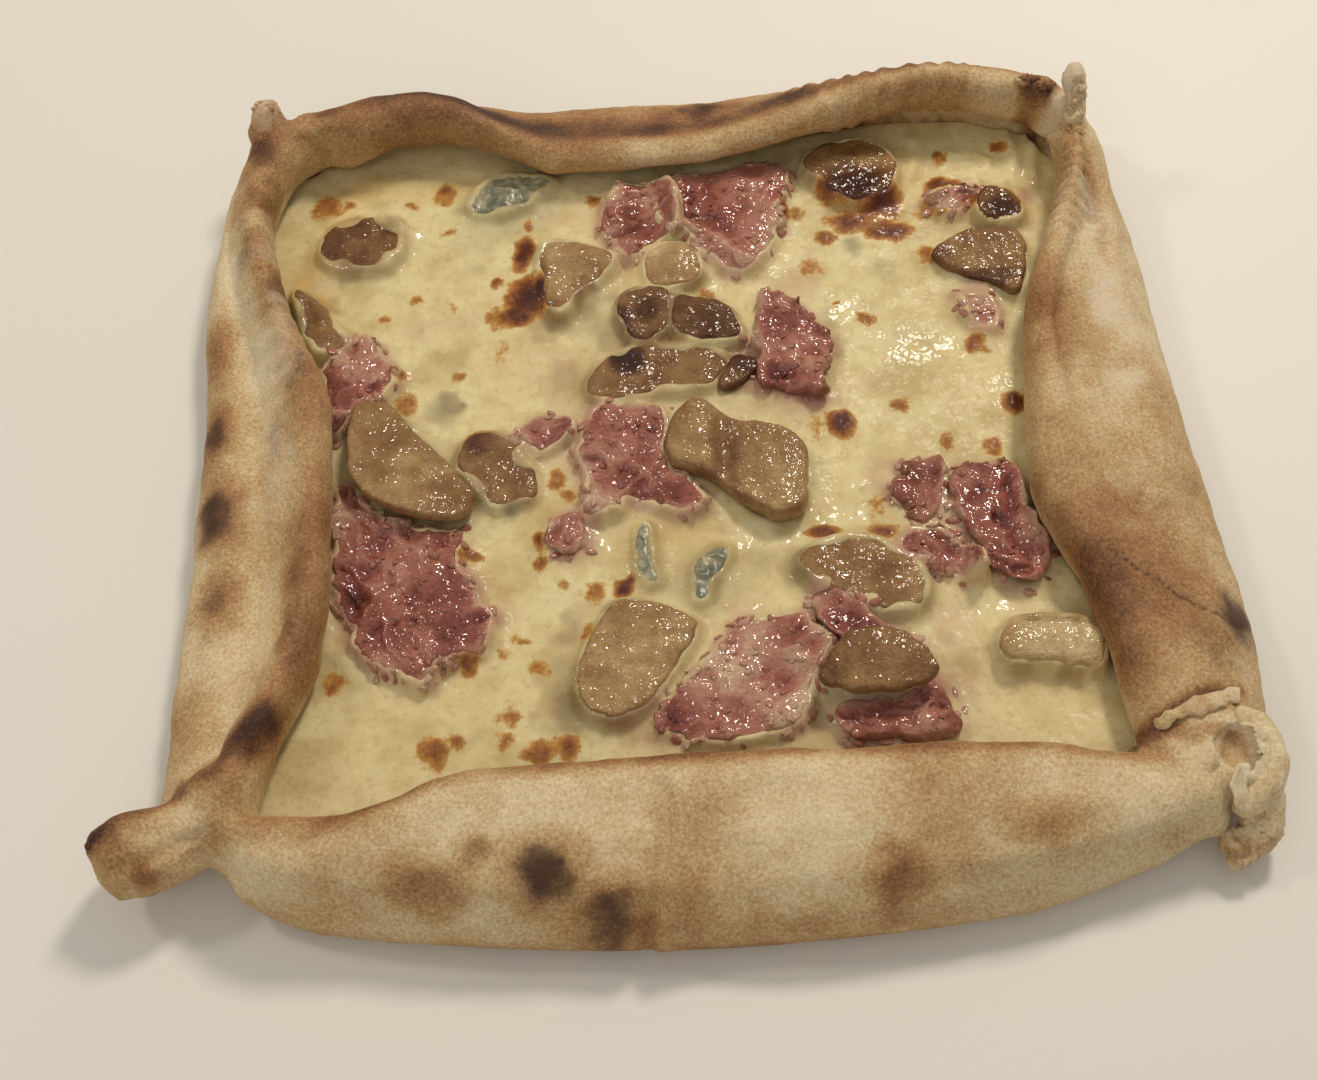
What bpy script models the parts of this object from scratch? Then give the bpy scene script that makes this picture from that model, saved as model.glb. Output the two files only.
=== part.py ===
"""A square pizza whose four edges are folded in over the filling and pinched into ears at the corners.

Sizes below are millimetres and become metres when a mesh is made. +Z is up and the dough rests on z = 0,
with the origin at the middle of its flat underside. A station is a place on the rim: 0 is the front-left
corner, 1 front-right, 2 back-right, 3 back-left, and 4 is 0 again.
"""

import math

import bmesh
import bpy
import numpy as np
from mathutils import Matrix, Vector, noise
from mathutils.bvhtree import BVHTree

MM = 0.001

BASE_THICKNESS = 4.0
FLAT_RADIUS = 66.0
WALL_THICKNESS = 7.5
SHOULDER_HEIGHT = 10.5
LOWEST_ROOF = 9.0
GAP = 0.4
LIP_CLEARANCE = 1.6

# Each rim size is a dict of station: millimetres, read from front-left round to the front-left again.
OUTER_EDGE = {0.0: 113, 0.06: 121, 0.17: 129, 0.5: 135, 0.75: 131, 0.9: 122, 1.0: 115, 1.1: 128, 1.25: 134,
              1.5: 130, 1.7: 128, 1.86: 125, 2.0: 113, 2.12: 119, 2.5: 121, 2.88: 120, 3.0: 112, 3.1: 126,
              3.28: 133, 3.5: 129, 3.9: 128}
LIP_LINE = {0.0: 105, 0.1: 105, 0.22: 96, 0.5: 94, 0.85: 95, 1.0: 98, 1.2: 93, 1.34: 84, 1.5: 87, 1.68: 92,
            1.82: 105, 1.93: 110, 2.0: 103, 2.15: 105, 2.27: 97, 2.5: 90, 2.68: 91, 2.82: 104, 2.97: 99,
            3.07: 109, 3.18: 114, 3.3: 107, 3.45: 94, 3.7: 91, 3.85: 92, 3.93: 101}
CREST_HEIGHT = {0.0: 24, 0.25: 25, 0.5: 23.5, 0.75: 24.5, 1.0: 22, 1.2: 24, 1.35: 27, 1.6: 25, 1.85: 28,
                2.0: 27, 2.2: 31, 2.45: 22, 2.65: 20.5, 2.85: 28, 3.0: 27, 3.2: 27, 3.45: 25, 3.7: 24,
                3.9: 26}
ROLL_WIDTH = {0.5: 13, 1.2: 12, 1.6: 11, 1.9: 10, 2.25: 13, 2.6: 11, 3.2: 11, 3.45: 13, 3.7: 9, 3.9: 14}
GROOVE_DEPTH = {0.1: 1, 0.5: 0.5, 1.0: 0.5, 1.3: 3, 1.6: 6, 1.85: 6.5, 2.0: 2, 2.2: 2, 2.6: 3, 3.0: 2,
                3.12: 8, 3.4: 12, 3.6: 12.5, 3.85: 11, 3.95: 3}
FACE_BULGE = {0.0: 1, 0.25: 4.5, 0.43: 5, 0.5: 1.5, 0.58: 4.5, 0.9: 3, 1.0: 1, 1.15: 4.5, 1.32: 0.5, 1.45: 5,
              1.8: 5.5, 2.0: 1, 2.5: 3, 3.0: 1, 3.15: 4, 3.4: 5, 3.6: 5.5, 3.85: 5, 3.95: 2}
UNDER_LIP = {0.0: 9.4, 0.5: 12, 1.0: 9.4, 1.5: 9.6, 1.9: 9.4, 2.1: 16, 2.3: 18, 2.5: 13.5, 2.7: 12.5,
             2.85: 13.5, 3.0: 10, 3.5: 9.4}
FOOT_HEIGHT = {0.0: 5, 0.15: 1.5, 0.5: 0.8, 0.85: 1.5, 1.0: 4, 1.2: 1, 1.8: 1, 2.0: 4, 2.2: 1.5, 2.8: 1.5,
               3.0: 4, 3.2: 1, 3.8: 1}

STATIONS_A_SIDE = 26
CORNER_CROWDING = 0.3
# Places along a section's control line where the dough is sampled, closer together round the lip and fold.
SECTION_SAMPLES = [0, 1, 2, 3, 4, 5, 6, 7, 8, 8.5, 9, 9.5, 10, 10.5, 11, 12, 13, 14, 15, 15.5, 16, 16.5, 17,
                   18, 19, 20, 21]
DOUGH_LUMPS = (28.0, 1.1)

# Pinched ears: points along the middle of each, with its radius at each of them.
EARS = {
    "front_left": {"path": [(-107, -101, 14), (-114, -104, 14.5), (-121.5, -107.5, 14), (-129.5, -110, 13.5),
                            (-135.5, -111.5, 13), (-138.5, -112, 12.5)], "radii": [6, 8.5, 9, 10.5, 8.8, 4]},
    "front_right": {"path": [(106, -98, 13), (113, -98.5, 14), (119, -99, 14.5), (124, -100, 14),
                             (127.5, -101, 13)], "radii": [6, 8.5, 10, 8.5, 4]},
    "front_right_scrap": {"path": [(121, -102, 12), (124, -107.5, 11), (124.5, -112.5, 8),
                                   (122.5, -116.5, 6), (120.5, -119.5, 4.5)], "radii": [5, 5.5, 5, 4, 1.8]},
    "back_right": {"path": [(109, 88, 18), (112.5, 90, 23), (113.5, 92, 27), (113, 95, 31),
                            (112.8, 98.5, 34.5), (112.6, 101.5, 37)], "radii": [4, 4.5, 2.8, 3.3, 3.7, 1.8]},
    "back_left": {"path": [(-111, 92, 18), (-115, 96, 21), (-116.5, 101, 24), (-116, 106, 27.5),
                           (-115.8, 109, 29.5)], "radii": [5, 5.8, 5, 5, 3]},
}
EAR_SIDES = 10
BURST_AT = (117.5, -99.5, 23.5)
BURST_RADII = (4.6, 6.0, 6.5)

CHEESE_THICKNESS = 3.4
CHEESE_UNDER_LIP = {0.5: 4, 1.5: 4, 2.0: 6, 2.2: 13, 2.8: 13, 3.0: 6, 3.5: 4}
CHEESE_TO_WALL = 5.0
CHEESE_LUMPS = (26.0, 0.55)
CHEESE_SPOKES = 56
CHEESE_RINGS = 8

# name: (x and y of its middle), its thickness, and how far it reaches from there in eight directions, which
# are +X, then every 45 degrees round to -X, and on round to +X again.
MUSHROOMS = {
    "mushroom_fin": ((-75, -10), 4.2, (14, 11, 17, 24, 15, 13, 15.5, 24)),
    "mushroom_by_left_lip": ((-99, 42), 3.4, (7, 7, 8, 14, 8, 7, 11.5, 11)),
    "mushroom_browned_cap": ((-90, 70), 3.2, (11, 12.5, 10.5, 13, 12, 12, 10, 11)),
    "mushroom_upper_slice": ((-31, 56), 3.4, (13, 14.5, 12.5, 15, 10, 11, 14.5, 12)),
    "mushroom_button": ((-3, 57), 3.8, (9.5, 10, 8, 9.5, 8.5, 9.5, 7, 10)),
    "mushroom_gills": ((-11, 41), 4.0, (7.5, 8.5, 8.5, 9, 8, 8.5, 7, 7.5)),
    "mushroom_dark_half": ((8, 37), 4.2, (9.5, 9, 8.5, 11, 8, 8, 9, 11)),
    "mushroom_wedge": ((12.5, 22), 3.0, (5, 6.5, 5, 5, 5.5, 6, 4.5, 4.5)),
    "mushroom_thin_wide": ((-10, 22), 2.8, (16, 13, 10.5, 11, 18, 11, 7.5, 10)),
    "mushroom_two_lobed": ((12, -10), 7.0, (19, 14, 10, 23, 18, 8, 14, 24)),
    "mushroom_half_sunk": ((-49, -8), 2.8, (8, 10, 12, 13, 8, 11, 12, 10)),
    "mushroom_wide_oval": ((41, -46), 4.0, (14, 12, 11, 14.5, 17, 12, 9.5, 15)),
    "mushroom_on_ham": ((42, -73), 4.0, (14, 9.5, 7.5, 10, 15, 8.5, 6.5, 9)),
    "mushroom_curled_stem": ((82, -66), 6.5, (14, 11, 7.5, 11.5, 16, 9, 6, 10)),
    "mushroom_large_front": ((-18, -67), 4.8, (14, 21, 16, 13, 14, 18, 14.5, 12)),
    "mushroom_under_back_lip": ((51, 88), 4.4, (14, 14, 13, 14, 13, 12, 12, 14)),
    "mushroom_by_right_lip": ((85, 54), 4.2, (13, 15, 11.5, 11, 14, 10, 8, 14)),
    "mushroom_crisp_bit": ((91, 73.5), 2.6, (7.5, 6, 5, 5, 5, 5, 4.5, 6)),
}
HAM = {
    "ham_back_fold": ((15, 76), 4.6, (15, 23, 20, 20, 14, 13, 21, 14)),
    "ham_back_strip": ((-11, 80), 3.0, (11, 12, 11, 10, 9, 11, 14, 12)),
    "ham_chunk": ((30, 22), 5.0, (11, 13, 23, 13, 10, 9, 18, 17)),
    "ham_centre": ((-17, -8), 4.4, (14, 13, 17, 17, 12, 16, 19, 25)),
    "ham_tuft": ((-39, 3), 4.0, (7, 8, 6.5, 6, 7, 6, 5, 6)),
    "ham_crumb": ((-34.5, -29.5), 3.8, (6.5, 6, 7, 7, 7, 7, 7.5, 7)),
    "ham_upper_left": ((-88, 23), 4.4, (9, 10, 13, 10, 9, 11, 10, 12)),
    "ham_left": ((-74, -44), 4.2, (19, 17, 40, 40, 18, 18, 25, 24)),
    "ham_right": ((75, -30), 5.6, (11.5, 15, 17, 15, 8, 8, 16, 19)),
    "ham_right_tail": ((61, -39), 2.8, (9, 9, 8, 7, 6, 7, 7, 10)),
    "ham_right_curl": ((56, -18), 3.6, (7, 9, 8, 6, 6, 7, 9, 6)),
    "ham_front": ((9, -72), 4.0, (20, 22, 18, 14, 13, 17, 15, 19)),
    "ham_front_ridge": ((38, -60), 4.0, (8, 6.5, 6, 11.5, 9, 8.5, 8, 18)),
    "ham_front_tail": ((45, -80), 3.0, (16, 13, 9, 12, 16, 10, 7, 13)),
    "ham_shred": ((80, 78), 2.8, (9, 9, 5.5, 6, 8, 5.5, 4.5, 6)),
    "ham_by_right_lip": ((81, 36), 2.2, (6, 7, 9, 7, 6, 7, 9, 7)),
}
BLUE_CHEESE = {
    "blue_cheese_back": ((-47, 89), 2.4, (13, 12, 9, 12, 13, 11, 9, 10)),
    "blue_cheese_long": ((-13, -34), 2.2, (2.8, 4, 9, 3.6, 3, 4, 10, 4)),
    "blue_cheese_short": ((2, -43), 2.4, (4, 8.5, 6, 3.6, 3.8, 8, 11, 4)),
}
TUCKED_UNDER_LIP = {"mushroom_under_back_lip": 7, "ham_back_fold": 4, "blue_cheese_back": 3}
BESIDE_NOT_ON = 1.2
TORN_EDGE = {"ham": 0.10, "mushroom": 0.02, "blue_cheese": 0.07}
HAM_RUFFLE = (8.5, 1.4)
BLUE_CHEESE_RUFFLE = (6.0, 0.35)

FINISHES = {
    "dough": ((0.70, 0.50, 0.30), 0.75),
    "cheese": ((0.86, 0.74, 0.42), 0.35),
    "mushroom": ((0.48, 0.35, 0.20), 0.35),
    "ham": ((0.62, 0.25, 0.24), 0.38),
    "blue_cheese": ((0.42, 0.42, 0.30), 0.40),
}


def clear_scene():
    for old in list(bpy.data.objects):
        bpy.data.objects.remove(old, do_unlink=True)


def finish(name):
    """A plain material in the food's own colour."""
    material = bpy.data.materials.get(name) or bpy.data.materials.new(name)
    colour, roughness = FINISHES[name]
    material.use_nodes = True
    shader = material.node_tree.nodes["Principled BSDF"]
    shader.inputs["Base Color"].default_value = (*colour, 1)
    shader.inputs["Roughness"].default_value = roughness
    shader.inputs["Metallic"].default_value = 0.0
    return material


def add_object(name, mesh, collection, finish_name, smooth=True):
    thing = bpy.data.objects.new(name, mesh)
    collection.objects.link(thing)
    mesh.materials.clear()
    mesh.materials.append(finish(finish_name))
    if smooth:
        mesh.shade_smooth()
    return thing


# Reading sizes round a loop


def eased(sizes, places, around=4):
    """The size at each place on a loop, eased between the ones given without overshooting them."""
    at = np.array(sorted(sizes))
    value = np.array([sizes[key] for key in sorted(sizes)], float)
    at = np.concatenate([at[-2:] - around, at, at[:2] + around])
    value = np.concatenate([value[-2:], value, value[:2]])
    step, rise = np.diff(at), np.diff(value)
    grade = rise / step
    slope = np.zeros_like(value)
    same_way = grade[:-1] * grade[1:] > 0
    slope[1:-1][same_way] = (2 * grade[:-1] * grade[1:] / (grade[:-1] + grade[1:] + 1e-12))[same_way]
    where = np.mod(np.asarray(places, float), around)
    i = np.clip(np.searchsorted(at, where, side="right") - 1, 0, len(step) - 1)
    t = (where - at[i]) / step[i]
    return (value[i] * (1 + 2 * t) * (1 - t) ** 2 + slope[i] * step[i] * t * (1 - t) ** 2
            + value[i + 1] * t ** 2 * (3 - 2 * t) + slope[i + 1] * step[i] * t ** 2 * (t - 1))


def rim_stations(a_side, crowding):
    """Evenly numbered stations, drawn closer together towards each corner."""
    t = np.arange(a_side) / a_side
    eased = t - crowding * np.sin(2 * math.pi * t) / (2 * math.pi)
    return np.concatenate([side + eased for side in range(4)])


def way_out(stations):
    """The direction of each station on a square of half-side 1."""
    side = np.floor(stations).astype(int) % 4
    along = 2 * (stations - np.floor(stations)) - 1
    x = np.choose(side, [along, np.ones_like(along), -along, -np.ones_like(along)])
    y = np.choose(side, [-np.ones_like(along), along, np.ones_like(along), -along])
    return x, y


def station_of(x, y):
    """The station that a point looks out at, and how far out it is on the square."""
    reach = np.maximum(np.maximum(np.abs(x), np.abs(y)), 1e-9)
    a, b = x / reach, y / reach
    front_back = np.abs(y) >= np.abs(x)
    station = np.where(front_back, np.where(y < 0, (a + 1) / 2, 2 + (1 - a) / 2),
                       np.where(x > 0, 1 + (b + 1) / 2, 3 + (1 - b) / 2))
    return np.mod(station, 4), reach


def spline_weights(places, count):
    """Uniform cubic B-spline weights of count control points at these places, held at both ends."""
    weights = np.zeros((len(places), count))
    for row, place in enumerate(places):
        i = min(int(place), count - 2)
        t = place - i
        basis = ((1 - t) ** 3, 3 * t ** 3 - 6 * t ** 2 + 4, -3 * t ** 3 + 3 * t ** 2 + 3 * t + 1, t ** 3)
        for offset, share in zip((-1, 0, 1, 2), basis):
            weights[row, min(max(i + offset, 0), count - 1)] += share / 6
    return weights


# Dough


def section_controls(stations):
    """Control points (distance out, height) of the dough's section at each station, from the top of the
    base, out under the fold, back in under the flap, round the lip and down the flap's face to the foot."""
    outer = eased(OUTER_EDGE, stations)
    lip = eased(LIP_LINE, stations)
    crest = eased(CREST_HEIGHT, stations)
    groove = eased(GROOVE_DEPTH, stations)
    bulge = eased(FACE_BULGE, stations)
    under = eased(UNDER_LIP, stations)
    foot = eased(FOOT_HEIGHT, stations)
    roll = np.minimum(eased(ROLL_WIDTH, stations), 0.6 * (outer - lip))
    hollow = np.maximum(lip + 2.5, outer - WALL_THICKNESS) - lip
    face = outer - (lip + roll)
    shoulder = np.minimum(foot + SHOULDER_HEIGHT, crest - 4)
    face_height = crest - groove + (shoulder - crest + groove) * 0.6 + bulge
    valley = crest - groove - 0.12 * (crest - shoulder) + 0.4 * bulge
    roof = np.maximum(np.minimum(under + 2.5, valley - 4), LOWEST_ROOF)
    ceiling = np.minimum(roof, np.maximum(BASE_THICKNESS + 3, np.minimum(shoulder - 1, face_height - 5)))
    flat = np.full_like(outer, BASE_THICKNESS)
    level = np.zeros_like(outer)
    points = [
        (np.full_like(outer, FLAT_RADIUS), flat),
        (lip - 6, flat),
        (lip + hollow - np.minimum(5, 0.8 * hollow), flat),
        (lip + hollow, flat + 0.2),
        (lip + hollow + 0.5, (flat + ceiling) / 2),
        (lip + hollow - np.minimum(3, 0.3 * hollow), ceiling),
        (lip + np.minimum(roll + 3, 0.6 * hollow), roof),
        (lip + np.minimum(0.55 * roll, 0.4 * hollow), under - 0.6),
        (lip + np.minimum(0.1 * roll, 0.1 * hollow), under - 0.4),
        (lip - 1.2, (under + crest) / 2),
        (lip + 0.1 * roll, crest - 0.8),
        (lip + 0.55 * roll, crest + 0.8),
        (lip + 1.05 * roll, crest - 0.45 * groove),
        (lip + 1.05 * roll + 0.22 * face, valley),
        (lip + roll + 0.66 * face, face_height),
        (outer - 3, shoulder + 0.5 * bulge),
        (outer + 0.8, foot + 5),
        (outer - 1.0, foot + 0.3),
        (outer - 8, 0.3 * foot),
        (outer - 18, level),
        (outer - 28, level),
        (np.full_like(outer, FLAT_RADIUS), level),
    ]
    reach = np.stack([point[0] for point in points], 1)
    height = np.stack([point[1] for point in points], 1)
    return reach, height


def dough_sheet():
    """The base and its four flaps as one closed mesh: a section swept round a square, and two flat ends."""
    stations = rim_stations(STATIONS_A_SIDE, CORNER_CROWDING)
    reach, height = section_controls(stations)
    weights = spline_weights(SECTION_SAMPLES, reach.shape[1])
    reach, height = reach @ weights.T, height @ weights.T
    out_x, out_y = way_out(stations)
    rows, columns = reach.shape
    grid = np.stack([reach * out_x[:, None], reach * out_y[:, None], height], 2)
    faces = []
    for i in range(rows):
        j = (i + 1) % rows
        faces += [(i * columns + k, i * columns + k + 1, j * columns + k + 1, j * columns + k)
                  for k in range(columns - 1)]
    faces.append([i * columns for i in range(rows)])
    faces.append([i * columns + columns - 1 for i in reversed(range(rows))])
    mesh = bpy.data.meshes.new("dough_sheet")
    mesh.from_pydata((grid.reshape(-1, 3) * MM).tolist(), [], faces)
    add_lumps(mesh, *DOUGH_LUMPS)
    face_outwards(mesh)
    return mesh


def add_lumps(mesh, size, depth):
    """Soft unevenness along the normals, which fades to nothing on the flat underside."""
    normals = [vertex.normal.copy() for vertex in mesh.vertices]
    for vertex, normal in zip(mesh.vertices, normals):
        height = vertex.co.z / MM
        share = min(max((height - 4.5) / 4, 0), 1)
        swell = noise.noise(vertex.co / (size * MM)) + 0.5 * noise.noise(vertex.co * 2.3 / (size * MM))
        vertex.co += normal * (swell * depth * share * MM)


def face_outwards(mesh):
    shape = bmesh.new()
    shape.from_mesh(mesh)
    bmesh.ops.recalc_face_normals(shape, faces=shape.faces)
    shape.to_mesh(mesh)
    shape.free()


def ear(name, path, radii, collection):
    """A pinched ear of dough: a thick line along its middle, made a mesh with its caps welded."""
    curve = bpy.data.curves.new(name, "CURVE")
    curve.dimensions = "3D"
    curve.bevel_depth = MM
    curve.bevel_resolution = (EAR_SIDES - 4) // 2
    curve.use_fill_caps = True
    line = curve.splines.new("POLY")
    line.points.add(len(path) - 1)
    for point, place, radius in zip(line.points, path, radii):
        point.co = (*(Vector(place) * MM), 1)
        point.radius = radius
    thing = bpy.data.objects.new(name, curve)
    collection.objects.link(thing)
    bpy.context.view_layer.update()
    mesh = bpy.data.meshes.new_from_object(thing.evaluated_get(bpy.context.evaluated_depsgraph_get()))
    bpy.data.objects.remove(thing)
    shape = bmesh.new()
    shape.from_mesh(mesh)
    bmesh.ops.remove_doubles(shape, verts=shape.verts, dist=1e-5)
    bmesh.ops.recalc_face_normals(shape, faces=shape.faces)
    shape.to_mesh(mesh)
    shape.free()
    return add_object(name, mesh, collection, "dough")


def burst_pocket(collection):
    """The hollow where the front-right ear has burst open."""
    bpy.ops.mesh.primitive_ico_sphere_add(subdivisions=2, radius=1)
    pocket = bpy.context.object
    pocket.name = "burst_pocket"
    for old in list(pocket.users_collection):
        old.objects.unlink(pocket)
    collection.objects.link(pocket)
    size = Matrix.Diagonal([radius * MM for radius in BURST_RADII] + [1])
    pocket.data.transform(Matrix.Translation(Vector(BURST_AT) * MM) @ size)
    return pocket


def boolean(thing, collection, operation):
    """Joins or cuts a whole collection into thing, applies it and removes the collection's objects."""
    step = thing.modifiers.new(operation.lower(), "BOOLEAN")
    step.operation = operation
    step.operand_type = "COLLECTION"
    step.collection = collection
    step.solver = "EXACT"
    bpy.context.view_layer.update()
    mesh = bpy.data.meshes.new_from_object(thing.evaluated_get(bpy.context.evaluated_depsgraph_get()))
    thing.modifiers.clear()
    thing.data = mesh
    for used in list(collection.objects):
        bpy.data.objects.remove(used, do_unlink=True)
    return thing


def make_dough(parts, helpers):
    dough = add_object("dough", dough_sheet(), parts, "dough")
    for name, sizes in EARS.items():
        ear(name, sizes["path"], sizes["radii"], helpers)
    boolean(dough, helpers, "UNION")
    burst_pocket(helpers)
    boolean(dough, helpers, "DIFFERENCE")
    dough.data.materials.clear()
    dough.data.materials.append(finish("dough"))
    return dough


# Melted cheese


def cheese_surface(x, y):
    """Height of the melted cheese over the base at one place."""
    size, depth = CHEESE_LUMPS
    swell = noise.noise(Vector((x / size, y / size, 3.7))) + 0.5 * noise.noise(Vector((x / 11, y / 11, 8.1)))
    return BASE_THICKNESS + GAP + CHEESE_THICKNESS + depth * swell


def make_cheese(parts):
    """A slab that fills the base and runs in under the lips."""
    stations = rim_stations(CHEESE_SPOKES // 4, CORNER_CROWDING)
    lip = eased(LIP_LINE, stations)
    wall = eased(OUTER_EDGE, stations) - WALL_THICKNESS
    edge = np.minimum(lip + eased(CHEESE_UNDER_LIP, stations), wall - CHEESE_TO_WALL)
    out_x, out_y = way_out(stations)
    points, faces = [(0, 0, cheese_surface(0, 0))], []
    for ring in range(1, CHEESE_RINGS + 1):
        share = (ring / CHEESE_RINGS) ** 0.8
        for spoke in range(CHEESE_SPOKES):
            x, y = edge[spoke] * share * out_x[spoke], edge[spoke] * share * out_y[spoke]
            points.append((x, y, cheese_surface(x, y)))
    for spoke in range(CHEESE_SPOKES):
        x, y = edge[spoke] * out_x[spoke], edge[spoke] * out_y[spoke]
        points.append((x, y, BASE_THICKNESS + GAP))
    for spoke in range(CHEESE_SPOKES):
        after = (spoke + 1) % CHEESE_SPOKES
        faces.append((0, 1 + spoke, 1 + after))
        for ring in range(CHEESE_RINGS):
            start, end = 1 + ring * CHEESE_SPOKES, 1 + (ring + 1) * CHEESE_SPOKES
            faces.append((start + spoke, end + spoke, end + after, start + after))
    faces.append([1 + CHEESE_RINGS * CHEESE_SPOKES + spoke for spoke in reversed(range(CHEESE_SPOKES))])
    mesh = bpy.data.meshes.new("melted_cheese")
    mesh.from_pydata([tuple(Vector(point) * MM) for point in points], [], faces)
    face_outwards(mesh)
    return add_object("melted_cheese", mesh, parts, "cheese")


# Toppings


class Ground:
    """The height of what already lies on the pizza, on a grid of 1 mm cells, for each topping to rest on."""

    HALF = 125

    def __init__(self):
        self.height = np.zeros((2 * self.HALF + 1, 2 * self.HALF + 1))

    def lay(self, thing):
        """Raises the ground to the top of this object."""
        shape = bmesh.new()
        shape.from_mesh(thing.data)
        tree = BVHTree.FromBMesh(shape)
        shape.free()
        corners = np.array([vertex.co for vertex in thing.data.vertices]) / MM
        low, high = np.floor(corners.min(0)).astype(int), np.ceil(corners.max(0)).astype(int)
        for x in range(low[0], high[0] + 1):
            for y in range(low[1], high[1] + 1):
                hit = tree.ray_cast(Vector((x * MM, y * MM, 0.1)), Vector((0, 0, -1)))[0]
                if hit is not None:
                    top = hit.z / MM
                    i, j = x + self.HALF, y + self.HALF
                    near = self.height[i - 1:i + 2, j - 1:j + 2]
                    np.maximum(near, top, out=near)

    def under(self, x, y, radius):
        """The highest ground within this distance of a point."""
        i, j = round(x) + self.HALF, round(y) + self.HALF
        return self.height[i - radius:i + radius + 1, j - radius:j + radius + 1].max()


def keep_inside_lips(x, y, tucked):
    """Draws a point in to clear the lip of the dough, or to lie under it by as much as it is tucked."""
    station, reach = station_of(x, y)
    room = eased(LIP_LINE, station) - LIP_CLEARANCE + tucked
    share = np.minimum(1, room / reach)
    return x * share, y * share


def room_beside(ground, centre_x, centre_y, angle, reach):
    """How far a piece can reach at this angle before it meets a neighbour higher than its own bed."""
    bed = ground.under(centre_x, centre_y, 1) + BESIDE_NOT_ON
    c, s = math.cos(angle), math.sin(angle)
    while reach > 3 and ground.under(centre_x + reach * c, centre_y + reach * s, 1) > bed:
        reach -= 0.5
    return reach


def flat_piece(name, sizes, kind, ground):
    """A flattened round solid with this piece's outline. Returns its mesh, its points in plan, and how high
    each is between its underside, 0, and its top, 1."""
    (centre_x, centre_y), thickness, reaches = sizes
    spokes = 12 if max(reaches) < 12 else 16 if max(reaches) < 17 else 20
    rings = 6 if max(reaches) < 17 else 7
    seed = sum(map(ord, name)) % 97
    shape = bmesh.new()
    bmesh.ops.create_uvsphere(shape, u_segments=spokes, v_segments=rings, radius=1)
    mesh = bpy.data.meshes.new(name)
    shape.to_mesh(mesh)
    shape.free()
    ball = np.array([vertex.co for vertex in mesh.vertices])
    out = np.clip(np.hypot(ball[:, 0], ball[:, 1]), 0, 1)
    angle = np.arctan2(ball[:, 1], ball[:, 0])
    turns = np.arange(spokes) * 2 * math.pi / spokes
    longest = eased(dict(enumerate(reaches)), turns / math.radians(45), 8)
    tear = [noise.noise(Vector((2.2 * math.cos(a), 2.2 * math.sin(a), seed))) for a in turns]
    longest *= 1 + 2 * TORN_EDGE[kind] * np.array(tear)
    longest = np.array([room_beside(ground, centre_x, centre_y, a, r) for a, r in zip(turns, longest)])
    for _ in range(3):
        longest = np.minimum(longest, 1.35 * np.minimum(np.roll(longest, 1), np.roll(longest, -1)))
    reach = longest[np.round(angle / turns[1]).astype(int) % spokes] * (1 - (1 - out) ** 1.5)
    x, y = centre_x + reach * np.cos(angle), centre_y + reach * np.sin(angle)
    x, y = keep_inside_lips(x, y, TUCKED_UNDER_LIP.get(name, 0))
    rise = (np.sign(ball[:, 2]) * np.abs(ball[:, 2]) ** 0.75 + 1) / 2
    return mesh, x, y, rise


def set_points(mesh, x, y, z):
    for vertex, place in zip(mesh.vertices, zip(x, y, z)):
        vertex.co = Vector([float(value) for value in place]) * MM
    face_outwards(mesh)


def stiff_slice(name, sizes, ground, parts, kind):
    """A slice that keeps its shape: it lies along the ground below it, and rests on its high places."""
    mesh, x, y, rise = flat_piece(name, sizes, kind, ground)
    floor = np.array([ground.under(a, b, 1) for a, b in zip(x, y)])
    plan = np.stack([x - x.mean(), y - y.mean(), np.ones_like(x)], 1)
    tilt = np.linalg.lstsq(plan, floor, rcond=None)[0]
    tilt[:2] = np.clip(tilt[:2], -0.15, 0.15)
    plane = plan @ tilt
    plane += (floor - plane).max() + GAP
    set_points(mesh, x, y, plane + sizes[1] * rise)
    thing = add_object(name, mesh, parts, kind)
    ground.lay(thing)


def soft_slice(name, sizes, ground, parts, kind, ruffle):
    """A thin piece that sags on to whatever is below it and is ruffled on top."""
    mesh, x, y, rise = flat_piece(name, sizes, kind, ground)
    floor = np.array([ground.under(a, b, 2) for a, b in zip(x, y)]) + GAP
    size, depth = ruffle
    folds = np.array([noise.noise(Vector((a / size, b / size, 4.4))) for a, b in zip(x, y)])
    top = np.maximum(sizes[1] + depth * folds * 1.8, 1.2)
    set_points(mesh, x, y, floor + top * rise)
    thing = add_object(name, mesh, parts, kind)
    ground.lay(thing)


def make_toppings(parts, cheese):
    """Blue cheese and ham first, then the mushrooms, so that some slices lie on the ham."""
    ground = Ground()
    ground.lay(cheese)
    for name, sizes in BLUE_CHEESE.items():
        soft_slice(name, sizes, ground, parts, "blue_cheese", BLUE_CHEESE_RUFFLE)
    for name, sizes in HAM.items():
        soft_slice(name, sizes, ground, parts, "ham", HAM_RUFFLE)
    for name, sizes in MUSHROOMS.items():
        stiff_slice(name, sizes, ground, parts, "mushroom")


def main():
    clear_scene()
    parts = bpy.data.collections.new("folded_pizza")
    helpers = bpy.data.collections.new("helpers")
    bpy.context.scene.collection.children.link(parts)
    bpy.context.scene.collection.children.link(helpers)
    make_dough(parts, helpers)
    cheese = make_cheese(parts)
    make_toppings(parts, cheese)


main()
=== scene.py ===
# %% [markdown]
# # A square pizza with its edges folded in
#
# This notebook dresses a plain solid model of a whole square pizza. Its four edges are folded in over
# melted cheese, cooked ham, mushroom slices and blue cheese, and its corners are pinched into ears.
# The solid model is the frame: it is never moved or changed. Each solid gets a finer piece that lies in
# the same place and stands for it, because a baked crust or a torn slice of ham has far more shape than
# a solid for collision needs.

# %% Load the fixed frame
import math

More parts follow.
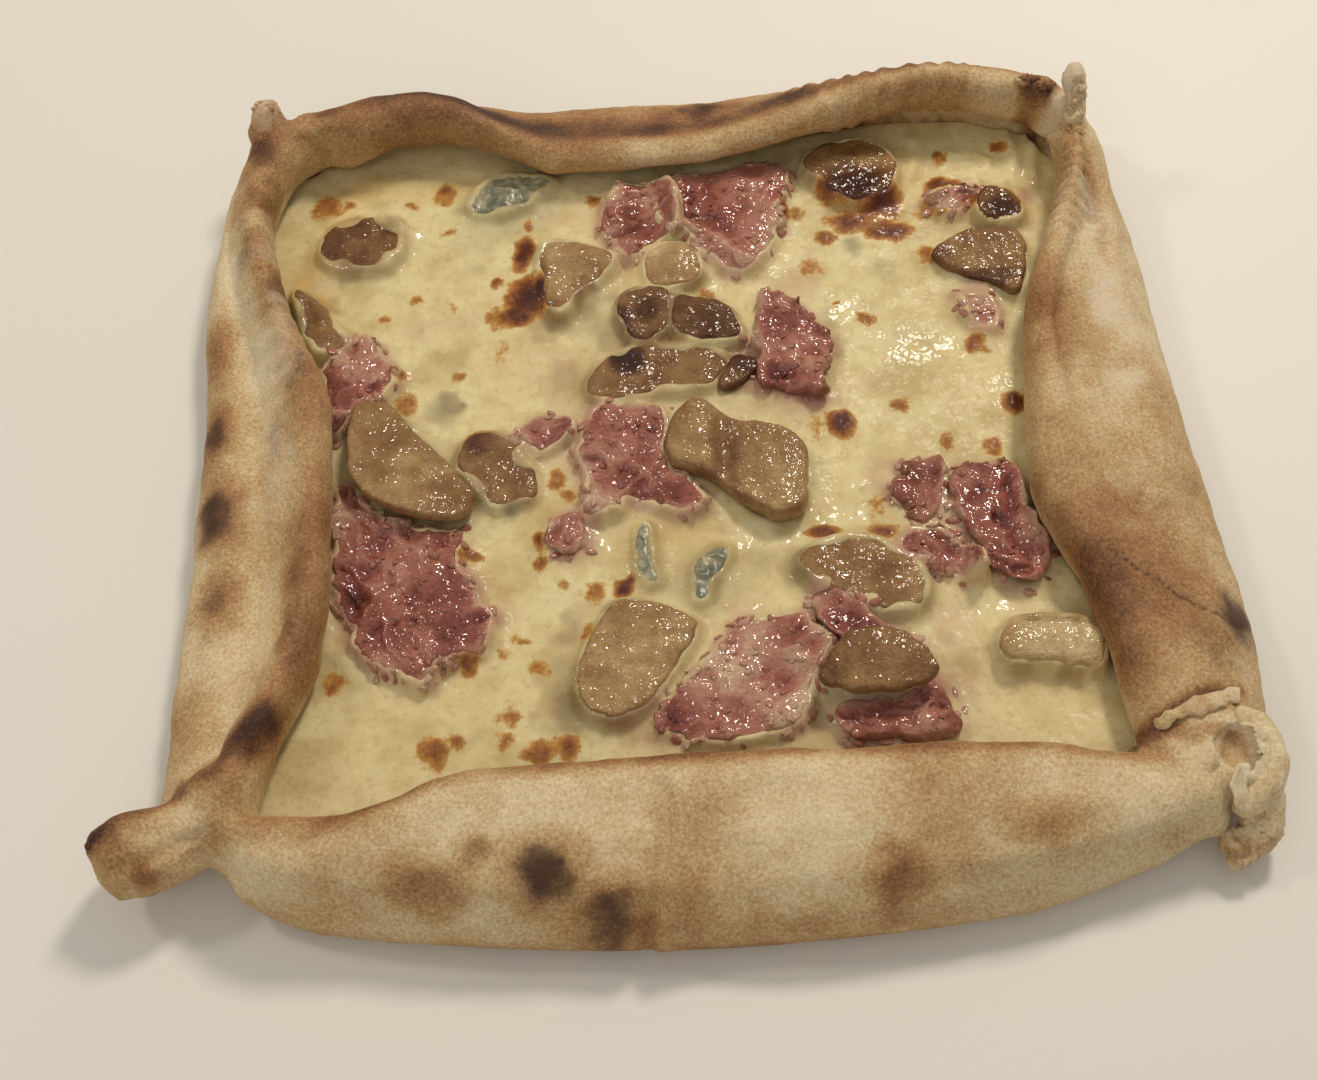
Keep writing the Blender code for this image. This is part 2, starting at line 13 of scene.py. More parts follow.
import bmesh
import bpy
import numpy as np
from mathutils import Matrix, Vector, noise
from mathutils.bvhtree import BVHTree


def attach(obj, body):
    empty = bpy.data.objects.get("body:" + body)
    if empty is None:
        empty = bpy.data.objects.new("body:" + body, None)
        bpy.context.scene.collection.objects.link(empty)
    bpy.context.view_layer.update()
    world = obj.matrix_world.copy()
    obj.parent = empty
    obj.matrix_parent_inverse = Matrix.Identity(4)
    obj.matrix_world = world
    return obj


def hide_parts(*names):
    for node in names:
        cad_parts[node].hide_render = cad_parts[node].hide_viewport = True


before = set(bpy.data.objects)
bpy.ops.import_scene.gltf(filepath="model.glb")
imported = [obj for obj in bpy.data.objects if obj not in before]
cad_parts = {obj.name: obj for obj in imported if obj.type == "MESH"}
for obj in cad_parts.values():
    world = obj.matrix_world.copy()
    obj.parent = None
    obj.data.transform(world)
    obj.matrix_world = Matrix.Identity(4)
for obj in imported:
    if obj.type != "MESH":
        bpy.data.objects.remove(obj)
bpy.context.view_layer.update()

MM = 0.001
print("nodes:", len(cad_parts))

# %% [markdown]
# ## The camera
#
# The eye stands above the front edge and looks down at the filling at about 59 degrees. A camera object
# looks along its own -Z axis, with its own Y axis up, so a matrix can be written straight from the three
# directions. The picture is turned by a small roll, as a hand-held picture is.

# %% The camera
EYE = Vector((-9.7, -241.5, 357.9)) * MM
AIM = Vector((-9.7, -25.6, 0.0)) * MM
ROLL = math.radians(-2.65)
SENSOR_WIDTH = 36.0
PICTURE_WIDTH, FOCAL_LENGTH = 1317, 1613  # both in the picture's own pixels

forward = (AIM - EYE).normalized()
level = Vector((1, 0, 0))
upward = level.cross(forward)
across = math.cos(ROLL) * level + math.sin(ROLL) * upward
up = math.cos(ROLL) * upward - math.sin(ROLL) * level

camera_data = bpy.data.cameras.new("camera")
camera_data.sensor_width = SENSOR_WIDTH
camera_data.lens = SENSOR_WIDTH * FOCAL_LENGTH / PICTURE_WIDTH
camera_data.clip_start = 0.01
camera = bpy.data.objects.new("camera", camera_data)
camera.matrix_world = Matrix.Translation(EYE) @ Matrix((across, up, -forward)).transposed().to_4x4()
bpy.context.scene.collection.objects.link(camera)
bpy.context.scene.camera = camera
print("lens:", round(camera_data.lens, 2), "mm")

# %% [markdown]
# ## Colours and shader nodes
#
# Colours are picked as sRGB hex values, because that is how an eye and a screen see them, but a shader
# mixes light, so they are turned linear once, here. One small function adds any node with its settings,
# and another fills a node's inputs: a value goes in as it is, and another node's output is linked.


# %% Colours and nodes
def linear(hex_colour):
    """An sRGB hex value such as #D6C18A as linear red, green, blue and alpha."""
    parts = [int(hex_colour[i:i + 2], 16) / 255 for i in (1, 3, 5)]
    return (*[part / 12.92 if part <= 0.04045 else ((part + 0.055) / 1.055) ** 2.4 for part in parts], 1.0)


def fill_inputs(tree, node, inputs):
    """Sets each input to its value, or links it where the value is another node's output."""
    for name, value in inputs.items():
        if isinstance(value, bpy.types.NodeSocket):
            tree.links.new(value, node.inputs[name])
        else:
            node.inputs[name].default_value = value


def add_node(tree, kind, settings=None, inputs=None, stops=None):
    """Adds one node. stops are (place, hex colour) pairs for a colour ramp."""
    made = tree.nodes.new(kind)
    for name, value in (settings or {}).items():
        setattr(made, name, value)
    fill_inputs(tree, made, inputs or {})
    if stops:
        ramp = made.color_ramp.elements
        while len(ramp) < len(stops):
            ramp.new(1.0)
        for stop, (place, colour) in zip(ramp, stops):
            stop.position = place
            stop.color = linear(colour)
    return made


def per_metre(size_mm):
    """The scale of a pattern on Object coordinates whose lumps are about this many millimetres apart."""
    return 1.0 / (size_mm * MM)


def new_material(name):
    """An empty material with its shader and its object coordinates."""
    material = bpy.data.materials.new(name)
    material.use_nodes = True
    tree = material.node_tree
    place = add_node(tree, "ShaderNodeTexCoord").outputs["Object"]
    return material, tree, tree.nodes["Principled BSDF"], place


# %% [markdown]
# ## The floor and the light
#
# Food looks right in soft light with one side a little stronger. A lamp behind and to the right gives
# the glints on wet cheese and the shade in front of each fold, a weaker one at the left adds glints of
# its own, and a broad one at the front left keeps the shade open. The pale world fills the rest.
# Blender's Standard view keeps the colours as they were picked.


# %% The floor and the light
def area_light(name, place, size, power, colour):
    """Adds a round lamp that looks at the middle of the pizza."""
    data = bpy.data.lights.new(name, "AREA")
    data.shape = "DISK"
    data.size = size
    data.energy = power
    data.color = linear(colour)[:3]
    lamp = bpy.data.objects.new(name, data)
    lamp.location = Vector(place)
    lamp.rotation_euler = (-lamp.location).to_track_quat("-Z", "Y").to_euler()
    bpy.context.scene.collection.objects.link(lamp)


area_light("key_light", (0.36, 0.62, 0.90), 0.22, 6.8, "#FFF6EA")
area_light("left_light", (-0.70, 0.30, 0.80), 0.16, 1.6, "#FFF8EE")
area_light("front_fill", (-0.45, -0.80, 0.85), 0.90, 2.0, "#FFFBF4")

world = bpy.data.worlds.new("pale_room")
world.use_nodes = True
fill_inputs(world.node_tree, world.node_tree.nodes["Background"], {
    "Color": linear("#F4F1EC"), "Strength": 0.40})
bpy.context.scene.world = world
bpy.context.scene.view_settings.view_transform = "Standard"

bpy.ops.mesh.primitive_plane_add(size=6.0)
floor = bpy.context.object
floor.name = "floor"
paint, tree, shader, place = new_material("matt_pale_table")
fill_inputs(tree, shader, {"Base Color": linear("#E4DFD3"), "Roughness": 0.55})
floor.data.materials.append(paint)

# %% [markdown]
# ## Helpers for shapes
#
# Most of the shape here is unevenness, so one smooth noise does much of the work. It is computed for a
# whole array of points at once, which is much faster than one point at a time. The other helpers read
# and write a mesh's points, and paint a value on each point that a material can read by its name.


# %% Noise, points and painted values
def ripple(points, size, seed):
    """Smooth noise from -1 to 1 at each point, with lumps about size millimetres across."""
    where = points / size + 11.7 * seed
    cell = np.floor(where).astype(np.int64)
    t = where - cell
    t = t * t * t * (t * (t * 6 - 15) + 10)
    total = np.zeros(len(points))
    for corner in ((a, b, c) for a in (0, 1) for b in (0, 1) for c in (0, 1)):
        x, y, z = (cell + corner).T
        mixed = (x * 73856093 ^ y * 19349663 ^ z * 83492791 ^ seed * 2654435761) & 0xFFFFFFFF
        mixed = (mixed ^ (mixed >> 15)) * 2246822519 & 0xFFFFFFFF
        mixed = (mixed ^ (mixed >> 13)) * 3266489917 & 0xFFFFFFFF
        mixed ^= mixed >> 16
        share = np.prod(np.where(corner, t, 1 - t), axis=1)
        total += share * (mixed / 2 ** 31 - 1)
    return total


def on_the_flat(x, y):
    """Plan places as points in space at height 0."""
    return np.column_stack([x, y, np.zeros(len(x))])


def shaken(x, y, points, by, size, seed):
    """Plan places moved about by noise, so that a spot or a line read at them has a broken outline."""
    return x + by * ripple(points, size, seed), y + by * ripple(points, size, seed + 1)


def points_of(mesh):
    """A mesh's points in millimetres."""
    flat = np.empty(len(mesh.vertices) * 3)
    mesh.vertices.foreach_get("co", flat)
    return flat.reshape(-1, 3) / MM


def normals_of(mesh):
    """The direction that the surface faces at each point."""
    flat = np.empty(len(mesh.vertices) * 3, np.float32)
    mesh.vertex_normals.foreach_get("vector", flat)
    return flat.reshape(-1, 3).astype(float)


def move_points(mesh, points):
    """Puts a mesh's points at new places, given in millimetres."""
    mesh.vertices.foreach_set("co", (points * MM).astype(np.float32).ravel())
    mesh.update()


def paint_on(mesh, name, values):
    """Stores one value from 0 to 1 on each point of the mesh, for a material to read."""
    layer = mesh.attributes.new(name, "FLOAT", "POINT")
    layer.data.foreach_set("value", np.clip(values, 0, 1).astype(np.float32))


def painted(mesh, name):
    """The values stored under a name on a mesh's points."""
    values = np.empty(len(mesh.vertices), np.float32)
    mesh.attributes[name].data.foreach_get("value", values)
    return values.astype(float)


def smooth_step(low, high, values):
    """A share that eases from 0 at low to 1 at high, or the other way round where high is below low."""
    t = np.clip((values - low) / (high - low), 0, 1)
    return t * t * (3 - 2 * t)


def soft_spots(x, y, spots):
    """How deep inside the spots each point lies: a spot's strength at its middle, 0 at its rim."""
    most = np.zeros(len(x))
    for (at_x, at_y), (half_x, half_y), strength in spots:
        out = ((x - at_x) / half_x) ** 2 + ((y - at_y) / half_y) ** 2
        most = np.maximum(most, strength * np.clip(1 - out, 0, 1))
    return most


def gap_to_line(x, y, line):
    """The distance in plan from each point to a line through these places."""
    least = np.full(len(x), 1e9)
    for (ax, ay), (bx, by) in zip(line[:-1], line[1:]):
        way_x, way_y = bx - ax, by - ay
        t = np.clip(((x - ax) * way_x + (y - ay) * way_y) / (way_x ** 2 + way_y ** 2), 0, 1)
        least = np.minimum(least, np.hypot(x - ax - t * way_x, y - ay - t * way_y))
    return least


def bell(gap, width):
    """A share of 1 where the gap is 0 that dies away like a bell over about this width."""
    return np.exp(-(gap / width) ** 2)


def by_line(x, y, line, width):
    """A bell across a line: 1 on it, and next to nothing twice this width away."""
    return bell(gap_to_line(x, y, line), width)


def merged_copy(node, name):
    """A copy of a solid's mesh in which its loose triangles share their corners."""
    shape = bmesh.new()
    shape.from_mesh(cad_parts[node].data)
    bmesh.ops.remove_doubles(shape, verts=shape.verts, dist=1e-6)
    mesh = bpy.data.meshes.new(name)
    shape.to_mesh(mesh)
    shape.free()
    return mesh


def add_piece(name, mesh, material, nodes=()):
    """Puts a finished mesh in the scene, on the pizza's one body, in place of these solids."""
    piece = bpy.data.objects.new(name, mesh)
    bpy.context.scene.collection.objects.link(piece)
    mesh.materials.clear()
    mesh.materials.append(material)
    mesh.shade_smooth()
    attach(piece, "root")
    if nodes:
        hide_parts(*nodes)


def applied(thing):
    """The mesh that an object's modifiers make, as a plain mesh. The object is removed."""
    bpy.context.view_layer.update()
    mesh = bpy.data.meshes.new_from_object(thing.evaluated_get(bpy.context.evaluated_depsgraph_get()))
    bpy.data.objects.remove(thing)
    return mesh


def even_cells(name, mesh, cell, rounds):
    """The mesh remade as one skin of even cells, and smoothed for this many rounds."""
    thing = bpy.data.objects.new(name, mesh)
    bpy.context.scene.collection.objects.link(thing)
    remesh = thing.modifiers.new("even_cells", "REMESH")
    remesh.mode = "VOXEL"
    remesh.voxel_size = cell * MM
    smooth = thing.modifiers.new("soft", "SMOOTH")
    smooth.factor = 0.5
    smooth.iterations = rounds
    return applied(thing)


print("noise sample:", np.round(ripple(np.array([[1.0, 2.0, 3.0], [9.0, 4.0, 1.0]]), 5.0, 1), 3))

# %% [markdown]
# ## Places on the rim
#
# The solid model numbers places round the rim: 0 is the front-left corner, 1 front-right, 2 back-right,
# 3 back-left and 4 is 0 again. The same numbers say here how brown the lip is at each place, and sizes
# between them are eased. The lip line and the outer edge are the solid's own.

# %% Places on the rim
OUTER_EDGE = {0.0: 113, 0.06: 121, 0.17: 129, 0.5: 135, 0.75: 131, 0.9: 122, 1.0: 115, 1.1: 128, 1.25: 134,
              1.5: 130, 1.7: 128, 1.86: 125, 2.0: 113, 2.12: 119, 2.5: 121, 2.88: 120, 3.0: 112, 3.1: 126,
              3.28: 133, 3.5: 129, 3.9: 128}
LIP_LINE = {0.0: 105, 0.1: 105, 0.22: 96, 0.5: 94, 0.85: 95, 1.0: 98, 1.2: 93, 1.34: 84, 1.5: 87, 1.68: 92,
            1.82: 105, 1.93: 110, 2.0: 103, 2.15: 105, 2.27: 97, 2.5: 90, 2.68: 91, 2.82: 104, 2.97: 99,
            3.07: 109, 3.18: 114, 3.3: 107, 3.45: 94, 3.7: 91, 3.85: 92, 3.93: 101}


def eased(sizes, places, around=4):
    """The size at each place on a loop, eased between the ones given without overshooting them."""
    at = np.array(sorted(sizes))
    value = np.array([sizes[key] for key in sorted(sizes)], float)
    at = np.concatenate([at[-2:] - around, at, at[:2] + around])
    value = np.concatenate([value[-2:], value, value[:2]])
    step, rise = np.diff(at), np.diff(value)
    grade = rise / step
    slope = np.zeros_like(value)
    same_way = grade[:-1] * grade[1:] > 0
    slope[1:-1][same_way] = (2 * grade[:-1] * grade[1:] / (grade[:-1] + grade[1:] + 1e-12))[same_way]
    where = np.mod(np.asarray(places, float), around)
    i = np.clip(np.searchsorted(at, where, side="right") - 1, 0, len(step) - 1)
    t = (where - at[i]) / step[i]
    return (value[i] * (1 + 2 * t) * (1 - t) ** 2 + slope[i] * step[i] * t * (1 - t) ** 2
            + value[i + 1] * t ** 2 * (3 - 2 * t) + slope[i + 1] * step[i] * t ** 2 * (t - 1))


def station_of(x, y):
    """The place on the rim that each point looks out at, and how far out it is on the square."""
    reach = np.maximum(np.maximum(np.abs(x), np.abs(y)), 1e-9)
    a, b = x / reach, y / reach
    front_back = np.abs(y) >= np.abs(x)
    station = np.where(front_back, np.where(y < 0, (a + 1) / 2, 2 + (1 - a) / 2),
                       np.where(x > 0, 1 + (b + 1) / 2, 3 + (1 - b) / 2))
    return np.mod(station, 4), reach


print("lip at the middle of each side:", eased(LIP_LINE, [0.5, 1.5, 2.5, 3.5]).round(1))

# %% [markdown]
# ## The crust's shape
#
# The crust is one sheet of dough, folded in on four sides. Its solid has the folds and ears, but flat
# facets. A voxel remesh gives it even cells whatever its facets were, and smoothing them takes the
# facets away. Then the points move along their normals by what baking does: lumps, blisters, wrinkles
# across the rolled lip, the crease in the front flap and a fine crack on the right one. Sculpting by
# hand would do it too, but a script can say where each mark is and how deep.

# %% The crust's shape
CRUST_CELL = 1.15
FRONT_CREASE = [(-11.1, -103), (-10.5, -111.2), (-11.7, -119.7), (-14.1, -127.3), (-15.9, -134)]
RIGHT_CRACK = [(99, -49.5), (104.5, -54), (109, -56.3), (113, -60.5), (118, -62), (128, -67)]
RIGHT_CREASE = [(115.5, 88), (115.8, 80), (114.6, 69.8), (114, 59.4), (107.2, 49.8), (102.1, 37.1),
                (97.4, 21), (97, 10), (99, 0)]
LEFT_CREASE = [(-102.5, -55), (-105, -63), (-107, -71.8), (-111.5, -79.4), (-113.5, -85.1), (-112.8, -92)]
PALE_GROOVE = [(-126.4, 86), (-121.5, 56), (-112, 27), (-107, -4), (-99.5, -22)]
EAR_RIDGE = [(-139, -110), (-133, -105.5), (-127, -102), (-120, -98.5), (-112, -94.5), (-106, -89),
             (-101, -83)]
END_FOLD = [(96, -94.5), (103, -91), (108, -88), (114.7, -85.3), (122, -85)]
BURST_EDGE = [(119.5, -92.9), (121.9, -96.1), (123.3, -97.7), (120.7, -101.4), (118.1, -105),
              (114.9, -105.6), (112.6, -103.2), (112.9, -98.7), (116.2, -96.6), (119.5, -92.9)]
SLITS = [[(119.6, -93.5), (120.6, -90.4), (120.2, -87.6)], [(112.8, -103), (110.8, -104.8)],
         [(122.6, -97.5), (124.6, -98.4)]]
# Spots of any kind are each a middle, how far the spot reaches in x and y, and how strong it is.
EARS = [((-131, -112), (12, 10), 1.0), ((112, 97), (9, 12), 1.0), ((122, -104), (12, 20), 1.0),
        ((-116, 104), (9, 9), 0.8)]
# Ridges, and with a minus sign grooves: a line of places in space, how wide it is and how high.
RIDGES = [
    ([(-112, -96, 22.5), (-120, -99, 23.5), (-127, -102.5, 23.5), (-133, -106, 22.3),
      (-138, -110, 19)], 3.0, 1.7),
    ([(-121, -111.5, 21.5), (-128, -114, 20.5), (-134, -115.5, 18)], 4.6, -1.5),
    ([(-115.2, -110.5, 20.2), (-114.6, -114, 17)], 3.6, -2.4),
    ([(-127, -118, 15), (-131.5, -117, 14.5)], 2.2, 0.9),
    ([(-103, -84.5, 25), (-100, -82, 24)], 3.2, 1.1),
    ([(-96, -72, 25), (-94, -68, 24)], 3.0, -1.0),
    ([(-108, -91, 26), (-102.5, -93, 24)], 2.0, -1.2),
    ([(108.5, 97, 29), (109, 91, 28), (111, 86, 27)], 2.2, -1.5),
    ([(113.8, 93, 34), (114.8, 88, 30)], 2.6, -1.0),
    ([(112, 97.5, 33), (112.6, 100.5, 36)], 1.6, 0.5),
    ([(120, -101.5, 21), (118.5, -99, 21)], 3.4, -3.2),
    ([(96, -94.5, 23), (103, -91, 24.5), (108, -88, 25), (114.7, -85.3, 24), (122, -85, 22)], 1.5, -2.0),
    ([(97, -92, 24), (103, -88.4, 25), (108, -85.2, 25), (115, -82.6, 24)], 2.0, 1.1),
    ([(100.4, 105, 29), (107, 102, 31)], 2.4, 0.8),
]
BLISTERS = [
    ((-37.6, -121.6), (9, 7.5), 1.0), ((-24.1, -129), (8, 7), 0.8), ((-62, -121), (11, 7), 0.6),
    ((39.4, -124), (8, 7), 0.7), ((71.9, -115), (12, 7), 0.5), ((-122, -22.5), (6, 11), 1.0),
    ((-124.6, 3), (5, 8), 0.8), ((126, -64), (7, 10), 0.9), ((113, 31), (9, 14), 0.5),
    ((-96, -50), (6, 9), 0.7), ((53, 104), (12, 6), 0.5), ((-64, 106), (12, 5), 0.5),
]


def gap_in_space(points, line):
    """The distance from each point to a line through places in space."""
    least = np.full(len(points), 1e9)
    for start, end in zip(np.array(line[:-1], float), np.array(line[1:], float)):
        way = end - start
        t = np.clip((points - start) @ way / (way @ way), 0, 1)
        least = np.minimum(least, np.linalg.norm(points - start - t[:, None] * way, axis=1))
    return least


def fine_crust():
    """The dough's solid in even cells, smoothed, with the relief that baking gives it."""
    mesh = even_cells("fine_crust", merged_copy("dough", "fine_crust"), CRUST_CELL, 4)
    points, normals = points_of(mesh), normals_of(mesh)
    x, y, z = points.T
    station, reach = station_of(x, y)
    outside = smooth_step(2.5, 7, z) * smooth_step(-8, -3, reach - eased(LIP_LINE, station))
    lift = 0.36 * ripple(points, 11, 1) + 0.2 * ripple(points, 5.2, 2) + 0.1 * ripple(points, 2.8, 3)
    lift += 0.9 * soft_spots(*shaken(x, y, points, 2, 7, 4), BLISTERS)
    on_front = smooth_step(-98, -103, y)
    lift += on_front * (by_line(x - 3.2, y, FRONT_CREASE, 3.2) - 1.9 * by_line(x, y, FRONT_CREASE, 1.6))
    lift -= 0.7 * by_line(*shaken(x, y, points, 0.6, 3, 6), RIGHT_CRACK, 1.0)
    high_up = smooth_step(17, 21, z)
    lift -= 1.5 * high_up * by_line(x + ripple(points, 9, 11), y, RIGHT_CREASE, 1.9)
    lift -= 1.6 * high_up * by_line(x + ripple(points, 9, 11), y, LEFT_CREASE, 2.4)
    wave = 0.5 * np.sin(2 * math.pi * (y + 0.25 * x + 1.6 * ripple(points, 6, 8)) / 4.6)
    wave = wave * smooth_step(46, 56, y) * smooth_step(88, 80, y)
    lift += wave * smooth_step(98, 104, x) * smooth_step(117, 114, x) * high_up
    wave = np.sin(2 * math.pi * (x - 0.4 * y + 2 * ripple(points, 7, 9)) / 5.4)
    lift += 0.42 * wave * smooth_step(28, 40, x) * smooth_step(92, 80, x) * smooth_step(96, 100, y)
    wave = np.sin(2 * math.pi * (y - 0.3 * x + 2 * ripple(points, 8, 10)) / 6.5)
    lift += 0.3 * wave * smooth_step(-20, 0, y) * smooth_step(-96, -100, x) * high_up
    for line, width, height in RIDGES:
        lift += height * bell(gap_in_space(points, line), width)
    crumpled = 0.45 * ripple(points, 3.0, 12) + 0.3 * np.abs(ripple(points, 2.2, 13))
    lift += smooth_step(0, 0.5, soft_spots(x, y, EARS)) * crumpled
    for slit in SLITS:
        lift -= 0.9 * by_line(x, y, slit, 0.9) * smooth_step(14, 18, z)
    points += normals * (lift * outside)[:, None]
    torn = by_line(x, y, BURST_EDGE, 2.2) * smooth_step(12, 16, z)
    points[:, 0] += 0.9 * torn * ripple(points, 2.6, 14)
    points[:, 1] += 0.9 * torn * ripple(points, 2.6, 15)
    points[:, 2] = np.maximum(points[:, 2], 0.0)
    move_points(mesh, points)
    return with_plain_base(mesh)


def with_plain_base(mesh):
    """The same mesh with few faces on the flat base, which it rests on and which the cheese covers."""
    shape = bmesh.new()
    shape.from_mesh(mesh)
    shape.normal_update()
    flat = [corner for corner in shape.verts if abs(corner.normal.z) > 0.9995 and corner.co.z < 6 * MM]
    inner = set(flat)
    lines = [line for line in shape.edges if line.verts[0] in inner and line.verts[1] in inner]
    bmesh.ops.dissolve_limit(shape, angle_limit=math.radians(1), verts=flat, edges=lines)
    bmesh.ops.triangulate(shape, faces=[face for face in shape.faces if len(face.verts) > 4])
    shape.to_mesh(mesh)
    shape.free()
    return mesh


crust_mesh = fine_crust()
print("crust faces:", len(crust_mesh.polygons))

# %% [markdown]
# ## How brown the crust is, and its painted shade
#
# A crust browns where it stands nearest the heat: along the lip, on blisters and at the ears. Flour that
# was dusted on it stays pale. Each of these is a value painted on the points, from places measured on
# the real one, and the outlines are broken up by noise so that no spot is a neat oval. Shade is painted
# into the same values too. The back flap and the inner wall below the lip are darkened, and so are the
# burst's hollow and the side of the front crease. The crack and the slits are painted as dark lines.

# %% How brown the crust is
# The brown line along the lip: how brown it is at each place, how far out from the lip, and how wide.
LIP_TOAST = {0.0: 0.3, 0.2: 0.3, 0.35: 0.42, 0.5: 0.42, 0.65: 0.32, 0.8: 0.3, 0.92: 0.36, 1.0: 0.2,
             1.1: 0.25, 1.3: 0.26, 1.5: 0.16, 1.75: 0.12, 1.9: 0.14, 2.0: 0.3, 2.3: 0.36, 2.5: 0.42,
             2.7: 0.42, 2.9: 0.3, 3.0: 0.3, 3.15: 0.3, 3.3: 0.34, 3.5: 0.22, 3.7: 0.26, 3.85: 0.26}
LIP_TOAST_AT = {0.2: 1.5, 0.8: 1.5, 1.2: 3, 1.6: 2.5, 1.9: 4, 2.2: 11, 2.5: 11, 2.8: 9, 3.1: 5, 3.5: 4,
                3.8: 5}
LIP_TOAST_WIDTH = {0.2: 4, 0.5: 2.6, 0.9: 3, 1.2: 7, 1.35: 9, 1.6: 5, 1.9: 4, 2.3: 5, 2.7: 6, 3.1: 7,
                   3.4: 6, 3.7: 7, 3.9: 8}
TOASTED_AND_SHADED = [
    ((-62.8, -122), (12, 8), 0.3), ((-52.7, -117.4), (7, 5), 0.34), ((39.4, -125.6), (9, 9), 0.34),
    ((71.9, -115), (12, 7), 0.26), ((-38, -122), (15, 12), 0.3), ((-24, -130), (14, 10), 0.34),
    ((108, -62), (22, 30), 0.26), ((105, -36), (12, 9), 0.2), ((-121, -22), (9, 17), 0.3),
    ((-124, 3), (7, 13), 0.3), ((-118, -46), (8, 12), 0.3), ((-122, -80), (9, 14), 0.15),
    ((-126, 32), (6, 14), 0.25), ((-133, -112), (5, 7), 0.2), ((8, 110), (16, 6), 0.3),
    ((-138, -109), (4, 4), 0.3), ((-131, -40), (7, 36), 0.14), ((-95, -58), (7, 26), 0.2),
    ((-101, -84), (9, 14), 0.2), ((96, 27), (6, 24), 0.16), ((-126, -117), (4, 4), 0.28),
    ((110, -80), (12, 10), 0.2), ((-117, 94), (6, 8), 0.3), ((105, 103), (7, 5), 0.5),
    # The two long strips along the back lip, at (60, 106) and (-60, 106), are painted shade.
    ((109, -95), (14, 3), 0.3), ((60, 106), (50, 6), 0.12), ((-60, 106), (50, 6), 0.12),
    # The spots at (-6, -112) and (-10, -126) are painted shade beside the front crease.
    ((115, 64), (3, 26), 0.24), ((100, 30), (4, 20), 0.1), ((-6, -112), (11, 12), 0.14),
    ((-10, -126), (10, 12), 0.16), ((10, -133), (90, 6), 0.1),
]
CHARRED = [
    ((-37.6, -121.6), (8.5, 7.5), 0.95), ((-24.1, -130.3), (7.5, 6.5), 0.8),
    ((-33.2, -119.3), (1.6, 1.6), 1.0), ((-124.6, 2.8), (5, 9), 0.85), ((-121.7, -22.5), (6.5, 10), 1.0),
    ((-118.7, -45.6), (5.5, 6), 0.6), ((-109.2, 44.8), (4, 11), 0.62), ((-101.4, 15.7), (3, 10), 0.5),
    ((-107, -1.4), (4, 11), 0.42), ((-119.5, 58.3), (4, 12), 0.45), ((127.3, -63.9), (8, 10), 1.0),
    ((124.5, -24.4), (5, 5), 0.4), ((8.3, 111), (9, 4), 0.7), ((-52.7, -117.4), (5, 3.6), 0.45),
    ((39.4, -126), (5.5, 5), 0.42), ((-62.8, -122), (7, 4), 0.4), ((112, -33), (7, 4), 0.3),
    ((-114.5, 78), (3.5, 10), 0.4), ((-118, -58), (4, 5), 0.3), ((-115, 90), (4, 6), 0.35),
    ((121, -72), (10, 12), 0.42), ((103, 104.5), (4, 2.5), 0.6), ((107, 102.5), (3, 2), 0.7),
]
FLOURED = [
    ((113.6, 31), (10, 18), 0.85), ((115.6, 58), (8, 14), 0.7), ((113, 4), (8, 12), 0.5),
    ((-106, 30), (10, 26), 0.55), ((-112, 62), (8, 18), 0.5), ((-104, -8), (8, 16), 0.4),
    ((112.5, 96), (8, 8), 1.0), ((-116, 104), (8, 7), 0.8), ((20, -112), (18, 8), 0.35),
    ((60, -120), (20, 8), 0.25), ((-80, -118), (14, 8), 0.3), ((120, -108), (9, 12), 0.7),
    ((118, -94), (9, 8), 0.5), ((-110, -20), (7, 30), 0.3), ((-60, 104), (30, 7), 0.2),
    ((110, 66), (9, 9), 0.6), ((106, -28), (9, 8), 0.35), ((0, -126), (14, 6), 0.2),
]

points = points_of(crust_mesh)
x, y, z = points.T
station, reach = station_of(x, y)
out = reach - eased(LIP_LINE, station)
at_x, at_y = shaken(x, y, points, 1.8, 5.5, 21)
line = bell(out - eased(LIP_TOAST_AT, station), eased(LIP_TOAST_WIDTH, station))
toast_and_shade = 0.24 + 0.13 * ripple(points, 26, 23) + 0.06 * ripple(points, 9, 24) + 0.03 * ripple(points, 4, 29)
toast_and_shade += eased(LIP_TOAST, station) * line * smooth_step(13, 19, z) * (1 + 0.5 * ripple(points, 8, 25))
toast_and_shade += soft_spots(at_x, at_y, TOASTED_AND_SHADED)
toast_and_shade += 0.12 * smooth_step(9, 3, z)
# Painted shade: the back flap, on its face outside the lip and on its inner face, is darkened.
back_flap_shade = smooth_step(88, 96, y) * smooth_step(110, 88, np.abs(x))
toast_and_shade += back_flap_shade * (0.16 * smooth_step(5, 9, out)
                    + 0.12 * smooth_step(5, 1, out) * smooth_step(92, 78, np.abs(x)))
toast_and_shade -= 0.14 * by_line(x, y, PALE_GROOVE, 6.0)
# Painted shade: the inner wall of the rim, low down by the cheese, is darkened.
toast_and_shade += 0.3 * smooth_step(17, 12, z) * smooth_step(-1, -5, out)
edge = by_line(at_x, at_y, EAR_RIDGE, 3.0) * smooth_step(17, 20, z)
toast_and_shade += 0.42 * edge
char_and_shade = soft_spots(at_x, at_y, CHARRED) * (1 + 0.3 * ripple(points, 3.5, 26))
